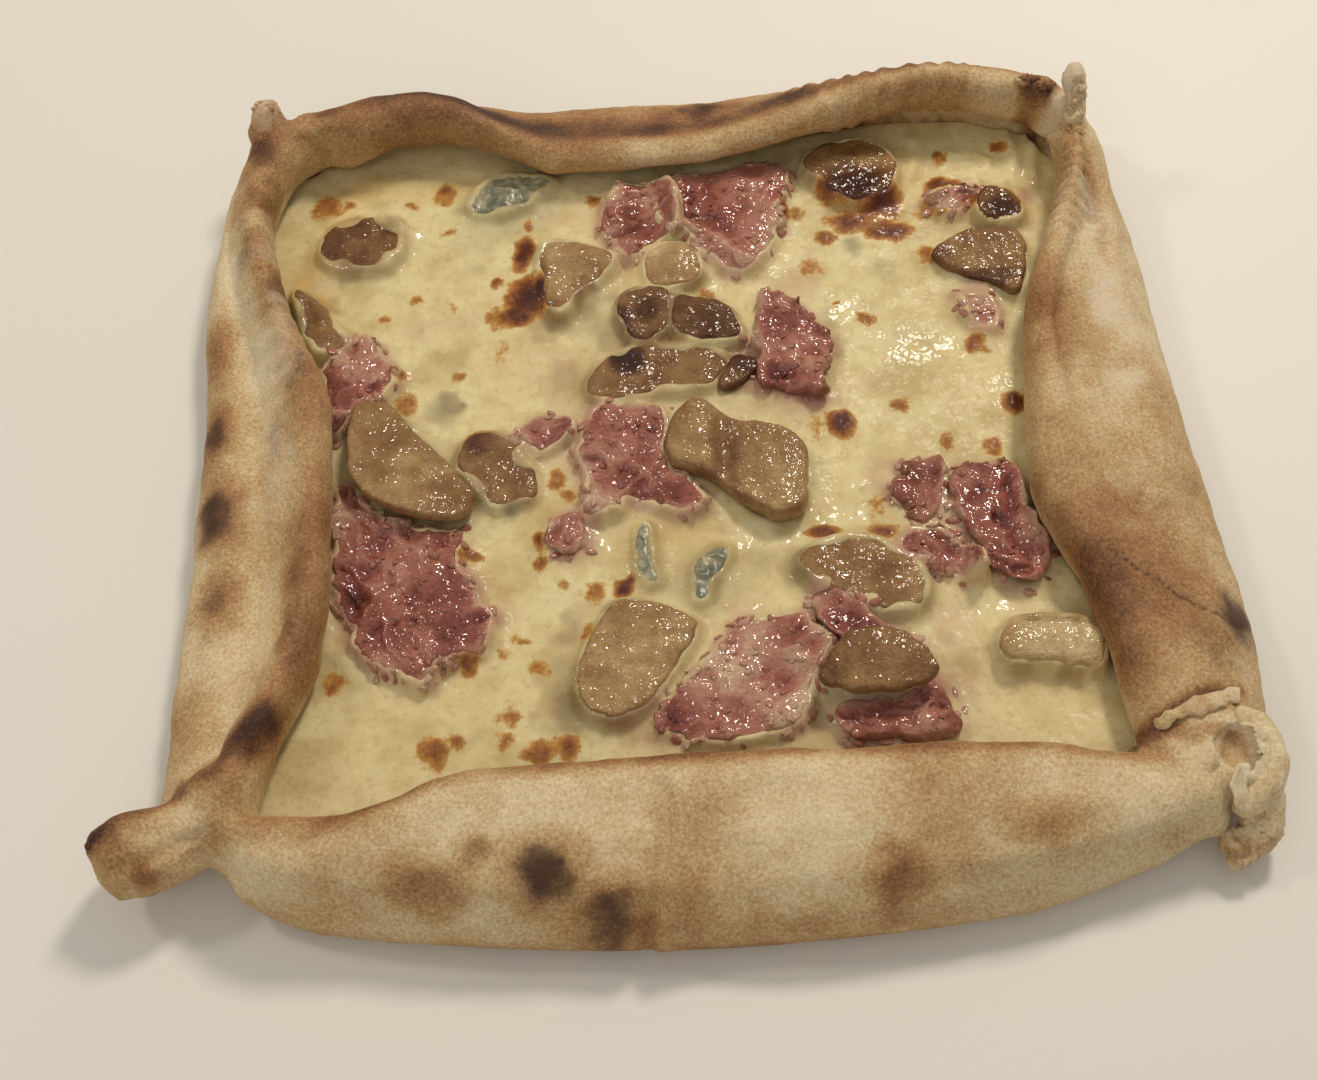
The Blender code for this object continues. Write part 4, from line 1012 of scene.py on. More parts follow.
# %% The mushrooms' finish
BROWNED = {
    "mushroom_fin": 0.27, "mushroom_by_left_lip": 0.34, "mushroom_browned_cap": 0.4,
    "mushroom_upper_slice": 0.2, "mushroom_button": 0.1, "mushroom_gills": 0.48, "mushroom_dark_half": 0.58,
    "mushroom_wedge": 0.5, "mushroom_thin_wide": 0.36, "mushroom_two_lobed": 0.24,
    "mushroom_half_sunk": 0.34, "mushroom_wide_oval": 0.3, "mushroom_on_ham": 0.34,
    "mushroom_curled_stem": -0.08, "mushroom_large_front": 0.16, "mushroom_under_back_lip": 0.32,
    "mushroom_by_right_lip": 0.3, "mushroom_crisp_bit": 0.4,
}
MUSHROOM_SPOTS = [
    ((-91, 76), (5, 5), 0.5), ((-82, 76), (5, 4), 0.45), ((-98, 70), (5, 8), 0.3), ((-16, 25), (6, 7), 1.0),
    ((-18, 36), (4, 8), 0.8), ((52, 84), (13, 8), 0.95), ((71, 58), (6, 6), 0.5), ((85, 47), (14, 4), 0.55),
    ((-42, 56), (6, 12), 0.8), ((-36, 42), (5, 5), 0.4), ((72, -66), (4, 5), 0.6), ((-10, 41), (4, 5), 0.4),
    ((9, -8), (5, 12), 0.35), ((-57, 0), (7, 7), 0.5), ((14, 22), (6, 5), 0.3), ((92, 71), (6, 5), 0.6),
    ((-4, 2), (5, 9), 0.25), ((27, -72), (5, 6), 0.3), ((80, -59.5), (9, 2.5), 0.35),
]

cooked_mushroom, tree, shader, place = new_material("cooked_champignon")
brown_in = add_node(tree, "ShaderNodeAttribute", {"attribute_name": "brown"}).outputs["Fac"]
flesh, cells, drops = (
    add_node(tree, "ShaderNodeTexNoise", None, {
        "Vector": place, "Scale": per_metre(size), "Detail": detail, "Roughness": rough}).outputs["Fac"]
    for size, detail, rough in ((4.5, 5.0, 0.6), (0.9, 3.0, 0.6), (1.5, 1.0, 0.4)))
mixed = brown_in
for pattern, amount in ((flesh, 0.55), (cells, 0.28)):
    mixed = add_node(tree, "ShaderNodeMath", {"operation": "MULTIPLY_ADD"}, {
        0: pattern, 1: amount, 2: mixed}).outputs[0]
mixed = add_node(tree, "ShaderNodeMath", {"operation": "SUBTRACT"}, {0: mixed, 1: 0.3}).outputs[0]
flesh_colour = add_node(tree, "ShaderNodeValToRGB", None, {"Fac": mixed}, [
    (0.0, "#D3BE90"), (0.2, "#B29160"), (0.42, "#906A3F"), (0.64, "#6B4523"), (0.84, "#48240E"),
    (1.0, "#321305")]).outputs["Color"]
bumps = add_node(tree, "ShaderNodeBump", None, {
    "Strength": 1.0, "Distance": 0.7 * MM, "Height": cells}).outputs["Normal"]
bumps = add_node(tree, "ShaderNodeBump", None, {
    "Strength": 0.4, "Distance": 0.8 * MM, "Height": flesh, "Normal": bumps}).outputs["Normal"]
wet = add_node(tree, "ShaderNodeBump", None, {
    "Strength": 0.75, "Distance": 0.8 * MM, "Height": drops}).outputs["Normal"]
fill_inputs(tree, shader, {
    "Base Color": flesh_colour, "Normal": bumps, "Coat Normal": wet, "Roughness": 0.42,
    "Specular IOR Level": 0.15, "Coat Weight": 0.6, "Coat Roughness": 0.05,
    "Subsurface Weight": 0.12, "Subsurface Radius": (1.0, 0.7, 0.4), "Subsurface Scale": 2.2 * MM})

for name, (mesh, points, inner) in mushroom_meshes.items():
    x, y = points[:, :2].T
    rim_dark = 0.12 * (1 - smooth_step(0.0, 1.4, inner)) * smooth_step(-0.4, 0.5, ripple(points, 8, 63))
    spots = soft_spots(*shaken(x, y, points, 1.2, 4, 61), MUSHROOM_SPOTS)
    paint_on(mesh, "brown", BROWNED[name] + 0.12 * ripple(points, 9, 60) + rim_dark + 0.55 * spots)
    add_piece(name.replace("mushroom", "cooked_mushroom"), mesh, cooked_mushroom, [name])
print("mushroom pieces:", len(mushroom_meshes))

# %% [markdown]
# ## Crumbs spread over a surface
#
# Torn meat and floury dough are covered with little lumps, and shreds of ham lie on the cheese beside
# it. Geometry Nodes spread them: points are dealt out over the faces as thickly as a painted value says,
# and each gets a small uneven lump, turned and sized at random from a fixed seed. Realize Instances makes
# them real mesh, and they carry the painted values of the place where they lie, so they take its colour.


# %% Crumbs spread over a surface
def scatter_tree():
    """The Geometry Nodes tree that spreads lumps, with its sizes as named inputs."""
    tree = bpy.data.node_groups.new("crumbs_on_a_surface", "GeometryNodeTree")
    doors = tree.interface
    for label, kind in (("Geometry", "Geometry"), ("Finish", "Material"), ("Per square metre", "Float"),
                        ("Seed", "Int"), ("Smallest", "Float"), ("Largest", "Float"), ("Shape", "Vector"),
                        ("Keep surface", "Bool")):
        doors.new_socket(label, in_out="INPUT", socket_type="NodeSocket" + kind)
    doors.new_socket("Geometry", in_out="OUTPUT", socket_type="NodeSocketGeometry")
    entry = add_node(tree, "NodeGroupInput").outputs
    share = add_node(tree, "GeometryNodeInputNamedAttribute", {"data_type": "FLOAT"}, {"Name": "share"})
    density = add_node(tree, "ShaderNodeMath", {"operation": "MULTIPLY"}, {
        0: share.outputs["Attribute"], 1: entry["Per square metre"]})
    spots = add_node(tree, "GeometryNodeDistributePointsOnFaces", None, {
        "Mesh": entry["Geometry"], "Density": density.outputs[0], "Seed": entry["Seed"]})
    ball = add_node(tree, "GeometryNodeMeshUVSphere", None, {"Segments": 8, "Rings": 6, "Radius": 1.0 * MM})
    rough = add_node(tree, "ShaderNodeTexNoise", {"noise_dimensions": "3D"}, {
        "Scale": 900.0, "Detail": 2.0})
    pushed = add_node(tree, "ShaderNodeVectorMath", {"operation": "SUBTRACT"}, {
        0: rough.outputs["Color"], 1: (0.5, 0.5, 0.5)})
    pushed = add_node(tree, "ShaderNodeVectorMath", {"operation": "SCALE"}, {
        0: pushed.outputs[0], "Scale": 1.4 * MM})
    lump = add_node(tree, "GeometryNodeSetPosition", None, {
        "Geometry": ball.outputs["Mesh"], "Offset": pushed.outputs[0]})
    lump = add_node(tree, "GeometryNodeTransform", None, {
        "Geometry": lump.outputs[0], "Scale": entry["Shape"]})
    size = add_node(tree, "FunctionNodeRandomValue", {"data_type": "FLOAT"}, {
        2: entry["Smallest"], 3: entry["Largest"], "Seed": entry["Seed"]})
    laid = add_node(tree, "GeometryNodeInstanceOnPoints", None, {
        "Points": spots.outputs["Points"], "Instance": lump.outputs[0],
        "Rotation": spots.outputs["Rotation"], "Scale": size.outputs[1]})
    spin = add_node(tree, "FunctionNodeRandomValue", {"data_type": "FLOAT_VECTOR"}, {
        0: (-0.5, -0.5, 0.0), 1: (0.5, 0.5, 2 * math.pi), "Seed": entry["Seed"]})
    laid = add_node(tree, "GeometryNodeRotateInstances", None, {
        "Instances": laid.outputs[0], "Rotation": spin.outputs[0]})
    kept = add_node(tree, "GeometryNodeSwitch", {"input_type": "GEOMETRY"}, {
        "Switch": entry["Keep surface"], "True": entry["Geometry"]})
    both = add_node(tree, "GeometryNodeJoinGeometry", None, {"Geometry": laid.outputs[0]})
    tree.links.new(kept.outputs[0], both.inputs[0])
    real = add_node(tree, "GeometryNodeRealizeInstances", None, {"Geometry": both.outputs[0]})
    done = add_node(tree, "GeometryNodeSetMaterial", None, {
        "Geometry": real.outputs[0], "Material": entry["Finish"]})
    add_node(tree, "NodeGroupOutput", None, {"Geometry": done.outputs[0]})
    return tree


crumbs = scatter_tree()


def scattered(name, mesh, material, per_square_metre, seed, smallest, largest, shape, keep_surface):
    """The mesh of lumps spread over a surface, with the surface itself if it is kept.

    smallest and largest are a lump's radius in millimetres, and shape stretches it in x, y and z.
    """
    thing = bpy.data.objects.new(name, mesh)
    bpy.context.scene.collection.objects.link(thing)
    spread = thing.modifiers.new("crumbs", "NODES")
    spread.node_group = crumbs
    values = {"Finish": material, "Per square metre": per_square_metre, "Seed": seed, "Smallest": smallest,
              "Largest": largest, "Shape": shape, "Keep surface": keep_surface}
    for door in crumbs.interface.items_tree:
        if door.in_out == "INPUT" and door.name in values:
            spread[door.identifier] = values[door.name]
    return applied(thing)


print("scatter inputs:", [door.name for door in crumbs.interface.items_tree if door.in_out == "INPUT"])

# %% [markdown]
# ## Torn dough at the corners
#
# At the front right the pinched dough burst as it baked: a strip of bare dough shows under the fold, the
# burst's right side is a pale, puffy wall with a torn lip, and a crumbly lump hangs below it. The back
# right tip is a dry, floury claw. A strip is a thin skin swept between two ragged edges. A lump is a few
# merged balls, remeshed into one skin and roughened. Crumbs are spread where the dough is driest.

# %% Torn dough at the corners
LUMP_CELL = 0.5


def torn_skin(name, rows, thick, bulge, seed):
    """A thin torn skin of dough through rows of two places each, as a closed mesh.

    Each row holds a place on either edge. A smooth curve runs through each edge's places, the skin spans
    them, and a wall joins its top to its bottom all round.
    """
    rows = np.array(rows, float)
    along = np.linspace(0, len(rows) - 1, 14 * (len(rows) - 1) + 1)
    i = np.clip(along.astype(int), 0, len(rows) - 2)
    t = (along - i)[:, None, None]
    before, start, end = rows[np.maximum(i - 1, 0)], rows[i], rows[i + 1]
    after = rows[np.minimum(i + 2, len(rows) - 1)]
    edges = 0.5 * (2 * start + (end - before) * t + (2 * before - 5 * start + 4 * end - after) * t ** 2
                   + (3 * start - before - 3 * end + after) * t ** 3)
    share = np.linspace(0, 1, 15)[None, :, None]
    sheet = edges[:, :1] * (1 - share) + edges[:, 1:] * share
    flat = sheet.reshape(-1, 3)
    ragged = np.stack([ripple(flat, 2.2, seed + axis) for axis in range(3)], 1) * (1, 1, 0.6)
    sheet = sheet + ragged.reshape(sheet.shape) * (0.35 + 0.75 * np.abs(2 * share - 1) ** 3)
    normal = np.cross(np.gradient(sheet, axis=0), np.gradient(sheet, axis=1))
    normal /= np.linalg.norm(normal, axis=2, keepdims=True)
    sheet = sheet + normal * bulge * np.sin(math.pi * share)
    ends = np.clip(np.minimum(along, len(rows) - 1 - along) / 0.35, 0, 1)[:, None, None]
    half = 0.5 * thick * np.sqrt(np.clip(1 - np.abs(2 * share - 1) ** 4, 0.04, 1)) * (0.25 + 0.75 * ends)
    number = np.arange(sheet.shape[0] * sheet.shape[1]).reshape(sheet.shape[:2])
    quads = np.stack([number[:-1, :-1], number[1:, :-1], number[1:, 1:], number[:-1, 1:]], -1)
    quads = quads.reshape(-1, 4)
    loop = np.concatenate([number[0, :-1], number[:-1, -1], number[-1, :0:-1], number[:0:-1, 0]])
    after = np.roll(loop, -1)
    sides = np.stack([loop, after, after + number.size, loop + number.size], 1)
    points = np.concatenate([sheet + normal * half, sheet - normal * half]).reshape(-1, 3)
    faces = quads.tolist() + (quads[:, ::-1] + number.size).tolist() + sides.tolist()
    mesh = bpy.data.meshes.new(name)
    mesh.from_pydata((points * MM).tolist(), [], faces)
    shape = bmesh.new()
    shape.from_mesh(mesh)
    bmesh.ops.recalc_face_normals(shape, faces=shape.faces)
    shape.to_mesh(mesh)
    shape.free()
    return mesh


def torn_lump(name, balls, soft, rough, seed):
    """A lump of bare dough round balls, each given as its place and radius."""
    shape = bmesh.new()
    chain = [(Vector(at), radius) for at, radius in balls]
    for (start, first), (end, last) in zip(chain[:-1], chain[1:]):
        for t in (0, 0.25, 0.5, 0.75, 1):
            bmesh.ops.create_icosphere(shape, subdivisions=3, radius=(first + (last - first) * t) * MM,
                                       matrix=Matrix.Translation(start.lerp(end, t) * MM))
    mesh = bpy.data.meshes.new(name)
    shape.to_mesh(mesh)
    shape.free()
    mesh = even_cells(name, mesh, LUMP_CELL, soft)
    points, normals = points_of(mesh), normals_of(mesh)
    cracks = np.clip(1 - 5 * np.abs(ripple(points, 4.2, seed)), 0, 1)
    lift = 0.8 * ripple(points, 3.2, seed + 1) - 0.8 * cracks + 0.3 * ripple(points, 1.3, seed + 2)
    move_points(mesh, points + normals * (rough * lift)[:, None])
    return mesh


def finish_dough(name, mesh, toast_and_shade, flour, crumbs_per_square_metre=0):
    """Paints a bit of dough, spreads crumbs on it if it has them and adds it to the pizza."""
    points = points_of(mesh)
    paint_on(mesh, "toast_and_shade", toast_and_shade + 0.14 * ripple(points, 4, 30))
    paint_on(mesh, "char_and_shade", 0 * points[:, 0])
    paint_on(mesh, "flour", flour + 0.2 * ripple(points, 3, 32))
    if crumbs_per_square_metre:
        paint_on(mesh, "share", smooth_step(-0.3, 0.6, ripple(points, 4, 34)))
        mesh = scattered(name, mesh, baked_dough, crumbs_per_square_metre, seed=5, smallest=0.2,
                         largest=0.5, shape=(1, 0.9, 0.6), keep_surface=True)
    add_piece(name, mesh, baked_dough)


crust_faces = [face.vertices for face in crust_mesh.polygons]
crust_tree = BVHTree.FromPolygons(points_of(crust_mesh).tolist(), crust_faces)


def on_crust(x, y, lift):
    """A place at this height over the crust, found by looking straight down on it."""
    hit = crust_tree.ray_cast(Vector((x, y, 100)), Vector((0, 0, -1)))[0]
    return (x, y, hit.z + lift)


# Rows across the strip: a place on either edge, in plan, and how high it lies over the crust.
STRIP = [[(95.4, -95.4, 0.2), (96.4, -94.2, -0.4)], [(102.6, -94, 0.4), (101.5, -92, -0.4)],
         [(108.4, -92, 0.6), (107.7, -88.8, 0.2)], [(115.1, -90.2, 0.6), (114.7, -86, 0.4)],
         [(121, -88, 0.2), (121.4, -85.2, 0.3)]]
# Rows across the burst's lip: a place on either edge, in space.
BURST_LIP = [[(116.6, -103.8, 21.8), (119.8, -103.4, 20)], [(115.2, -106.6, 21), (119.4, -107, 19)],
             [(114.8, -110, 19), (119, -110.4, 17)], [(116, -113.2, 16.4), (120, -112.8, 14.6)]]
# Name: balls, rounds of smoothing, roughness, toast, flour, crumbs per square metre.
LUMPS = {
    "bare_dough_wall": (
        [((121.6, -91, 18.2), 3.0), ((124.6, -93.4, 18.4), 3.3), ((126, -97.6, 18.2), 3.6),
         ((126.2, -102, 17.6), 3.8), ((124.6, -106.2, 16.8), 3.9), ((121.6, -109.2, 15.6), 3.7),
         ((118.8, -110.8, 14.6), 3.0)], 16, 0.3, 0.16, 0.3, 0),
    "bare_dough_drip": (
        [((122.5, -111, 10), 4.0), ((126.2, -110, 9.2), 3.4), ((125.2, -113.6, 8.4), 3.8),
         ((121.6, -116.2, 7), 3.8), ((118.4, -119.6, 5.4), 2.8), ((117, -116, 7.6), 3.2)],
        3, 1.3, 0.3, 0.4, 1.5e5),
    "floury_claw": (
        [((112.6, 91.4, 26.6), 2.6), ((113.2, 94, 29.6), 2.9), ((113.2, 96.6, 32.2), 3.1),
         ((112.4, 99, 34.4), 2.6), ((110.9, 97.6, 33.6), 1.8)], 4, 0.9, 0.3, 0.6, 5.0e5),
}
strip = [[on_crust(*place) for place in row] for row in STRIP]
finish_dough("torn_dough_strip", torn_skin("torn_dough_strip", strip, 0.9, 0.3, 130), 0.26, 0.35)
finish_dough("torn_dough_lip", torn_skin("torn_dough_lip", BURST_LIP, 1.3, -0.5, 138), 0.12, 0.5)
for number, (name, (balls, soft, rough, toast_and_shade, flour, per_square_metre)) in enumerate(LUMPS.items()):
    mesh = torn_lump(name, balls, soft, rough, 150 + 4 * number)
    finish_dough(name, mesh, toast_and_shade, flour, per_square_metre)
x, y, z = points_of(crust_mesh).T
DRY_SPOTS = [((102, 106.3), (4.5, 2.2), 1.0), ((106.5, 103.8), (3.2, 2.4), 0.9), ((113, 90), (3, 6), 0.3),
             ((-116, 106), (3, 3), 0.3), ((-139, -110), (2, 3), 0.4)]
paint_on(crust_mesh, "share", soft_spots(x, y, DRY_SPOTS) * smooth_step(18, 24, z))
spilt = scattered("dry_crumbs", crust_mesh, baked_dough, 1.2e6, seed=9, smallest=0.4, largest=1.3,
                  shape=(1, 0.7, 0.8), keep_surface=False)
add_piece("dry_crumbs", spilt, baked_dough)
print("torn dough pieces:", len(LUMPS) + 3, "with", len(spilt.polygons), "faces in the crumbs")

# %% [markdown]
# ## Cooked ham
#
# The ham was torn by hand, so its edges are frilled and its top is a mass of crinkles that run along
# the meat's grain. Ridged noise, which is 1 less the size of a noise, gives sharp crests with soft
# valleys between them. Its coordinates are turned to each scrap's grain and drawn out along it, so that
# the crests run one way.

# %% Cooked ham
HAM_CELL = 0.5
GRAIN_STRETCH = 1.7
# Which way each scrap's grain runs, in degrees from +X.
GRAIN = {
    "ham_upper_left": 60, "ham_left": -55, "ham_centre": -50, "ham_tuft": 20, "ham_crumb": 80,
    "ham_chunk": -60, "ham_back_fold": 75, "ham_back_strip": 20, "ham_right": -75, "ham_right_tail": -40,
    "ham_right_curl": 80, "ham_front": 40, "ham_front_ridge": -35, "ham_front_tail": 5, "ham_shred": 10,
    "ham_by_right_lip": -40,
}
# How strong the crinkles are on the smoother scraps.
SMOOTHER_HAM = {
    "ham_back_fold": 0.55, "ham_right": 0.6, "ham_front_ridge": 0.5, "ham_front": 0.75,
    "ham_by_right_lip": 0.5, "ham_right_curl": 0.5,
}
HAM_PITS = [((76, -32), (3, 3.5), 1.0), ((79, -47), (3, 2), 0.8), ((-85, -48), (3, 4), 0.8),
            ((25, 18), (4, 3), 0.8), ((-82, -38), (4, 4), 0.7), ((46, -63), (2, 2), 0.8),
            ((9, 69), (4, 3), 0.6), ((30, -49), (2.5, 2), 0.6)]


def along_grain(name, x, y):
    """Plan places turned so that their first value runs along the meat's grain, and is drawn out."""
    turn = math.radians(GRAIN[name])
    a = (x * math.cos(turn) + y * math.sin(turn)) / GRAIN_STRETCH
    b = -x * math.sin(turn) + y * math.cos(turn)
    return on_the_flat(a, b)


def ham_top(name, x, y, depth):
    """The height of a scrap's crinkled top, and how far up its crests each point is."""
    seed = 70 + sum(map(ord, name)) % 20
    amount = SMOOTHER_HAM.get(name, 1.0)
    flat = on_the_flat(x, y)
    grain = along_grain(name, *shaken(x, y, flat, 2.4, 5.5, seed + 3))
    crest = 1 - 2.3 * np.sqrt(ripple(grain, 4.8, seed) ** 2 + 0.006)
    small = 1 - 2.3 * np.sqrt(ripple(grain, 2.3, seed + 1) ** 2 + 0.01)
    fine = ripple(flat, 1.3, seed + 5)
    relief = amount * (0.85 * crest + 0.42 * small + 0.14 * fine) + 1.0 * ripple(flat, 8, seed + 2)
    relief -= 1.9 * soft_spots(x, y, HAM_PITS)
    if name == "ham_back_fold":
        relief += 1.3 * by_line(x, y, [(0, 72), (9, 68), (14, 60), (20, 56)], 2.0)
        relief -= 1.2 * by_line(x, y, [(2, 75), (11, 72), (17, 64)], 1.6)
    if name == "ham_right":
        relief += 1.2 * by_line(x, y, [(84, -16), (85, -30), (87, -43)], 2.6)
        relief += 0.9 * by_line(x, y, [(66, -15), (80, -13.5)], 1.6)
        relief -= 1.1 * by_line(x, y, [(80, -20), (79, -34), (82, -46)], 1.5)
    lie = lies[name]
    middle = lie.height(x, y)
    level = middle + min(lie.half, 2.6) * 0.6
    return middle + (level - middle + relief) * rounded_rim(depth, 1.7), relief


def ham_scrap(name):
    """A torn scrap, its points, how far inside its outline each point is, and how far up its crests."""
    x, y, depth, rim, faces = clipped_grid(outlines[name], HAM_CELL)
    bottom = lies[name].height(x, y) - 1.4 * rounded_rim(depth, 2.0)
    top = np.maximum(ham_top(name, x, y, depth)[0], bottom + 0.3)
    mesh = closed_piece(name.replace("ham", "torn_ham", 1), x, y, rim, faces, top, bottom)
    points = points_of(mesh)
    inner = np.maximum(depth_inside(outlines[name], points[:, 0], points[:, 1])[0], 0)
    relief = ham_top(name, points[:, 0], points[:, 1], inner)[1]
    sway = on_the_flat(ripple(points, 3.2, 87), ripple(points, 3.2, 88))
    move_points(mesh, points + 0.85 * sway * smooth_step(0, 2, inner)[:, None])
    return mesh, points, inner, relief


ham_meshes = {name: ham_scrap(name) for name in HAM}
print("ham faces:", sum(len(mesh.polygons) for mesh, _, _, _ in ham_meshes.values()))

# %% [markdown]
# ## The ham's finish
#
# Cooked ham is pink, moist meat with paler fat and a fibre that shows as streaks. It browns at its
# thin edges. Its colour is also painted lighter on the crests of its crinkles and darker in their valleys
# and pits, as painted light and shade. Light goes a good way into it and comes back red, so its
# subsurface radius is largest in red. A thin wet coat gives the small sharp glints.

# %% The ham's finish
HAM_BROWNED = [
    ((-16, -13), (5, 5), 0.55), ((-6, -17), (4, 4), 0.5), ((-19, 4), (4, 4), 0.35), ((37, 9), (4, 6), 0.9),
    ((38, 32), (3, 7), 0.6), ((56, -16), (2, 6), 0.9), ((70, -14), (8, 2.5), 0.7),
    ((63, -34), (7, 5), 0.55), ((30, -48.5), (4, 2.5), 0.7), ((52, -66), (3, 4), 0.8),
    ((48, -83), (2, 5), 0.5), ((-79, 23), (3, 7), 0.5), ((-39, -29), (2.5, 5), 0.85),
    ((-14, 73), (6, 8), 0.45), ((20, 77), (6, 6), 0.35), ((74, 78), (6, 5), 0.5), ((86, 81), (4, 3), 0.5),
    ((6, 70), (5, 3), 0.5), ((-52, -58), (4, 5), 0.35), ((54, -26), (4, 7), 0.6), ((16, -68), (9, 5), 0.3),
    ((59, -85), (3, 6), 0.4), ((-70, -66), (5, 3), 0.35), ((31, 40), (3, 4), 0.6),
]
PALE_HAM = [
    ((-88, -24), (6, 12), 0.7), ((-76, -63), (8, 4), 0.4), ((-63, -58), (9, 7), 0.35),
    ((14, -66), (11, 6), 0.35), ((24, 84), (7, 9), 0.3), ((-13, 66), (6, 6), 0.4), ((-92, 24), (4, 8), 0.4),
    ((80, 38), (8, 9), 0.35), ((10, -58), (12, 5), 0.3), ((83, -22), (4, 9), 0.25),
    ((-24, -22), (5, 4), 0.25), ((-14, 82), (8, 6), 0.25),
]
# How much paler than the rest a scrap's meat is, or darker with a minus sign.
HAM_TONE = {
    "ham_left": -0.16, "ham_centre": -0.07, "ham_chunk": -0.1, "ham_upper_left": -0.06, "ham_front": 0.04,
    "ham_front_tail": -0.12, "ham_front_ridge": -0.04, "ham_right": -0.04,
}

cooked_ham, tree, shader, place = new_material("cooked_ham")
brown_in, pale_in, crest_shade_and_tone_in = (
    add_node(tree, "ShaderNodeAttribute", {"attribute_name": painting}).outputs["Fac"]
    for painting in ("brown", "pale", "crest"))
meat, fibre, drops = (
    add_node(tree, "ShaderNodeTexNoise", None, {
        "Vector": place, "Scale": per_metre(size), "Detail": detail, "Roughness": rough,
        "Distortion": bend}).outputs["Fac"]
    for size, detail, rough, bend in ((5.0, 5.0, 0.65, 0.0), (1.2, 4.0, 0.7, 0.8), (1.7, 1.0, 0.4, 0.0)))
# The crest value brings the painted light and shade of the crinkles into the meat's colour.
mixed = crest_shade_and_tone_in
for pattern, amount in ((fibre, 0.3), (meat, 0.5), (pale_in, 0.5)):
    mixed = add_node(tree, "ShaderNodeMath", {"operation": "MULTIPLY_ADD"}, {
        0: pattern, 1: amount, 2: mixed}).outputs[0]
mixed = add_node(tree, "ShaderNodeMath", {"operation": "SUBTRACT"}, {0: mixed, 1: 0.4}).outputs[0]
meat_colour = add_node(tree, "ShaderNodeValToRGB", None, {"Fac": mixed}, [
    (0.05, "#632A20"), (0.22, "#8B483A"), (0.42, "#AB6A57"), (0.62, "#C08A72"), (0.82, "#D1AC8C"),
    (1.0, "#DBC39C")]).outputs["Color"]
scorch = add_node(tree, "ShaderNodeMath", {"operation": "MULTIPLY_ADD"}, {
    0: fibre, 1: 0.6, 2: brown_in}).outputs[0]
scorch = add_node(tree, "ShaderNodeMapRange", {"interpolation_type": "SMOOTHSTEP"}, {
    "Value": scorch, "From Min": 0.42, "From Max": 1.05, "To Min": 0.0, "To Max": 0.9}).outputs[0]
meat_colour = add_node(tree, "ShaderNodeMix", {"data_type": "RGBA"}, {
    0: scorch, 6: meat_colour, 7: linear("#7A3F1E")}).outputs[2]
bumps = add_node(tree, "ShaderNodeBump", None, {
    "Strength": 0.9, "Distance": 0.9 * MM, "Height": fibre}).outputs["Normal"]
wet = add_node(tree, "ShaderNodeBump", None, {
    "Strength": 0.7, "Distance": 0.8 * MM, "Height": drops}).outputs["Normal"]
fill_inputs(tree, shader, {
    "Base Color": meat_colour, "Normal": bumps, "Coat Normal": wet, "Roughness": 0.42,
    "Specular IOR Level": 0.2, "Coat Weight": 0.8, "Coat Roughness": 0.05,
    "Subsurface Weight": 0.15, "Subsurface Radius": (1.0, 0.35, 0.25), "Subsurface Scale": 1.8 * MM})

CRUMBS_ON_HAM = {"per_square_metre": 0.5e5, "smallest": 0.5, "largest": 1.2, "shape": (1.2, 0.8, 0.4)}
ham_total = 0
for name, (mesh, points, inner, relief) in ham_meshes.items():
    x, y = points[:, :2].T
    # Painted light and shade: the crest value makes crinkle crests lighter and valleys and pits darker,
    # with each scrap's tone and a random tone added.
    paint_on(mesh, "crest", 0.36 + 0.15 * relief + HAM_TONE.get(name, 0) + 0.14 * ripple(points, 12, 90))
    brown = soft_spots(*shaken(x, y, points, 1, 3, 80), HAM_BROWNED)
    brown += 0.3 * (1 - smooth_step(0.0, 1.3, inner)) * smooth_step(-0.1, 0.6, ripple(points, 7, 82))
    pale = soft_spots(*shaken(x, y, points, 1, 4, 83), PALE_HAM)
    pale += 0.75 * (1 - smooth_step(0.0, 2.6, inner)) * smooth_step(-0.5, 0.4, ripple(points, 5, 85))
    pale += 0.4 * ripple(points, 6, 86)
    paint_on(mesh, "brown", brown)
    paint_on(mesh, "pale", pale)
    paint_on(mesh, "share", smooth_step(0.3, 0.8, normals_of(mesh)[:, 2]) * smooth_step(0.2, 1.0, inner))
    title = name.replace("ham", "torn_ham", 1)
    full = scattered(title, mesh, cooked_ham, seed=len(title), keep_surface=True, **CRUMBS_ON_HAM)
    add_piece(title, full, cooked_ham, [name])
    ham_total += len(full.polygons)
print("ham pieces:", len(ham_meshes), "with", ham_total, "faces")

# %% [markdown]
# ## Blue cheese
#
# The blue cheese has slumped into low, curdled mounds. They are made as the ham is, with softer lumps,
# and their material mixes grey-green mould with pale curd through two noises.


# %% Blue cheese
def blue_top(name, x, y, depth):
    """The height of a mound's curdled top, and the middle height that it rises from."""
    flat = on_the_flat(x, y)
    middle = lies[name].height(x, y)
    ridges = 1 - 2 * np.abs(ripple(flat, 3.0, 91))
    lumps = 0.5 * ripple(flat, 5.0, 90) + 0.5 * ridges + 0.2 * ripple(flat, 1.7, 92)
    return middle + (1.1 + lumps) * rounded_rim(depth, 3.2), middle


def blue_mound(name):
    """A closed mound of curd."""
    x, y, depth, rim, faces = clipped_grid(outlines[name], HAM_CELL)
    top, middle = blue_top(name, x, y, depth)
    bottom = middle - rounded_rim(depth, 2.0)
    top = np.maximum(top, bottom + 0.2)
    return closed_piece(name.replace("cheese", "cheese_curd"), x, y, rim, faces, top, bottom)


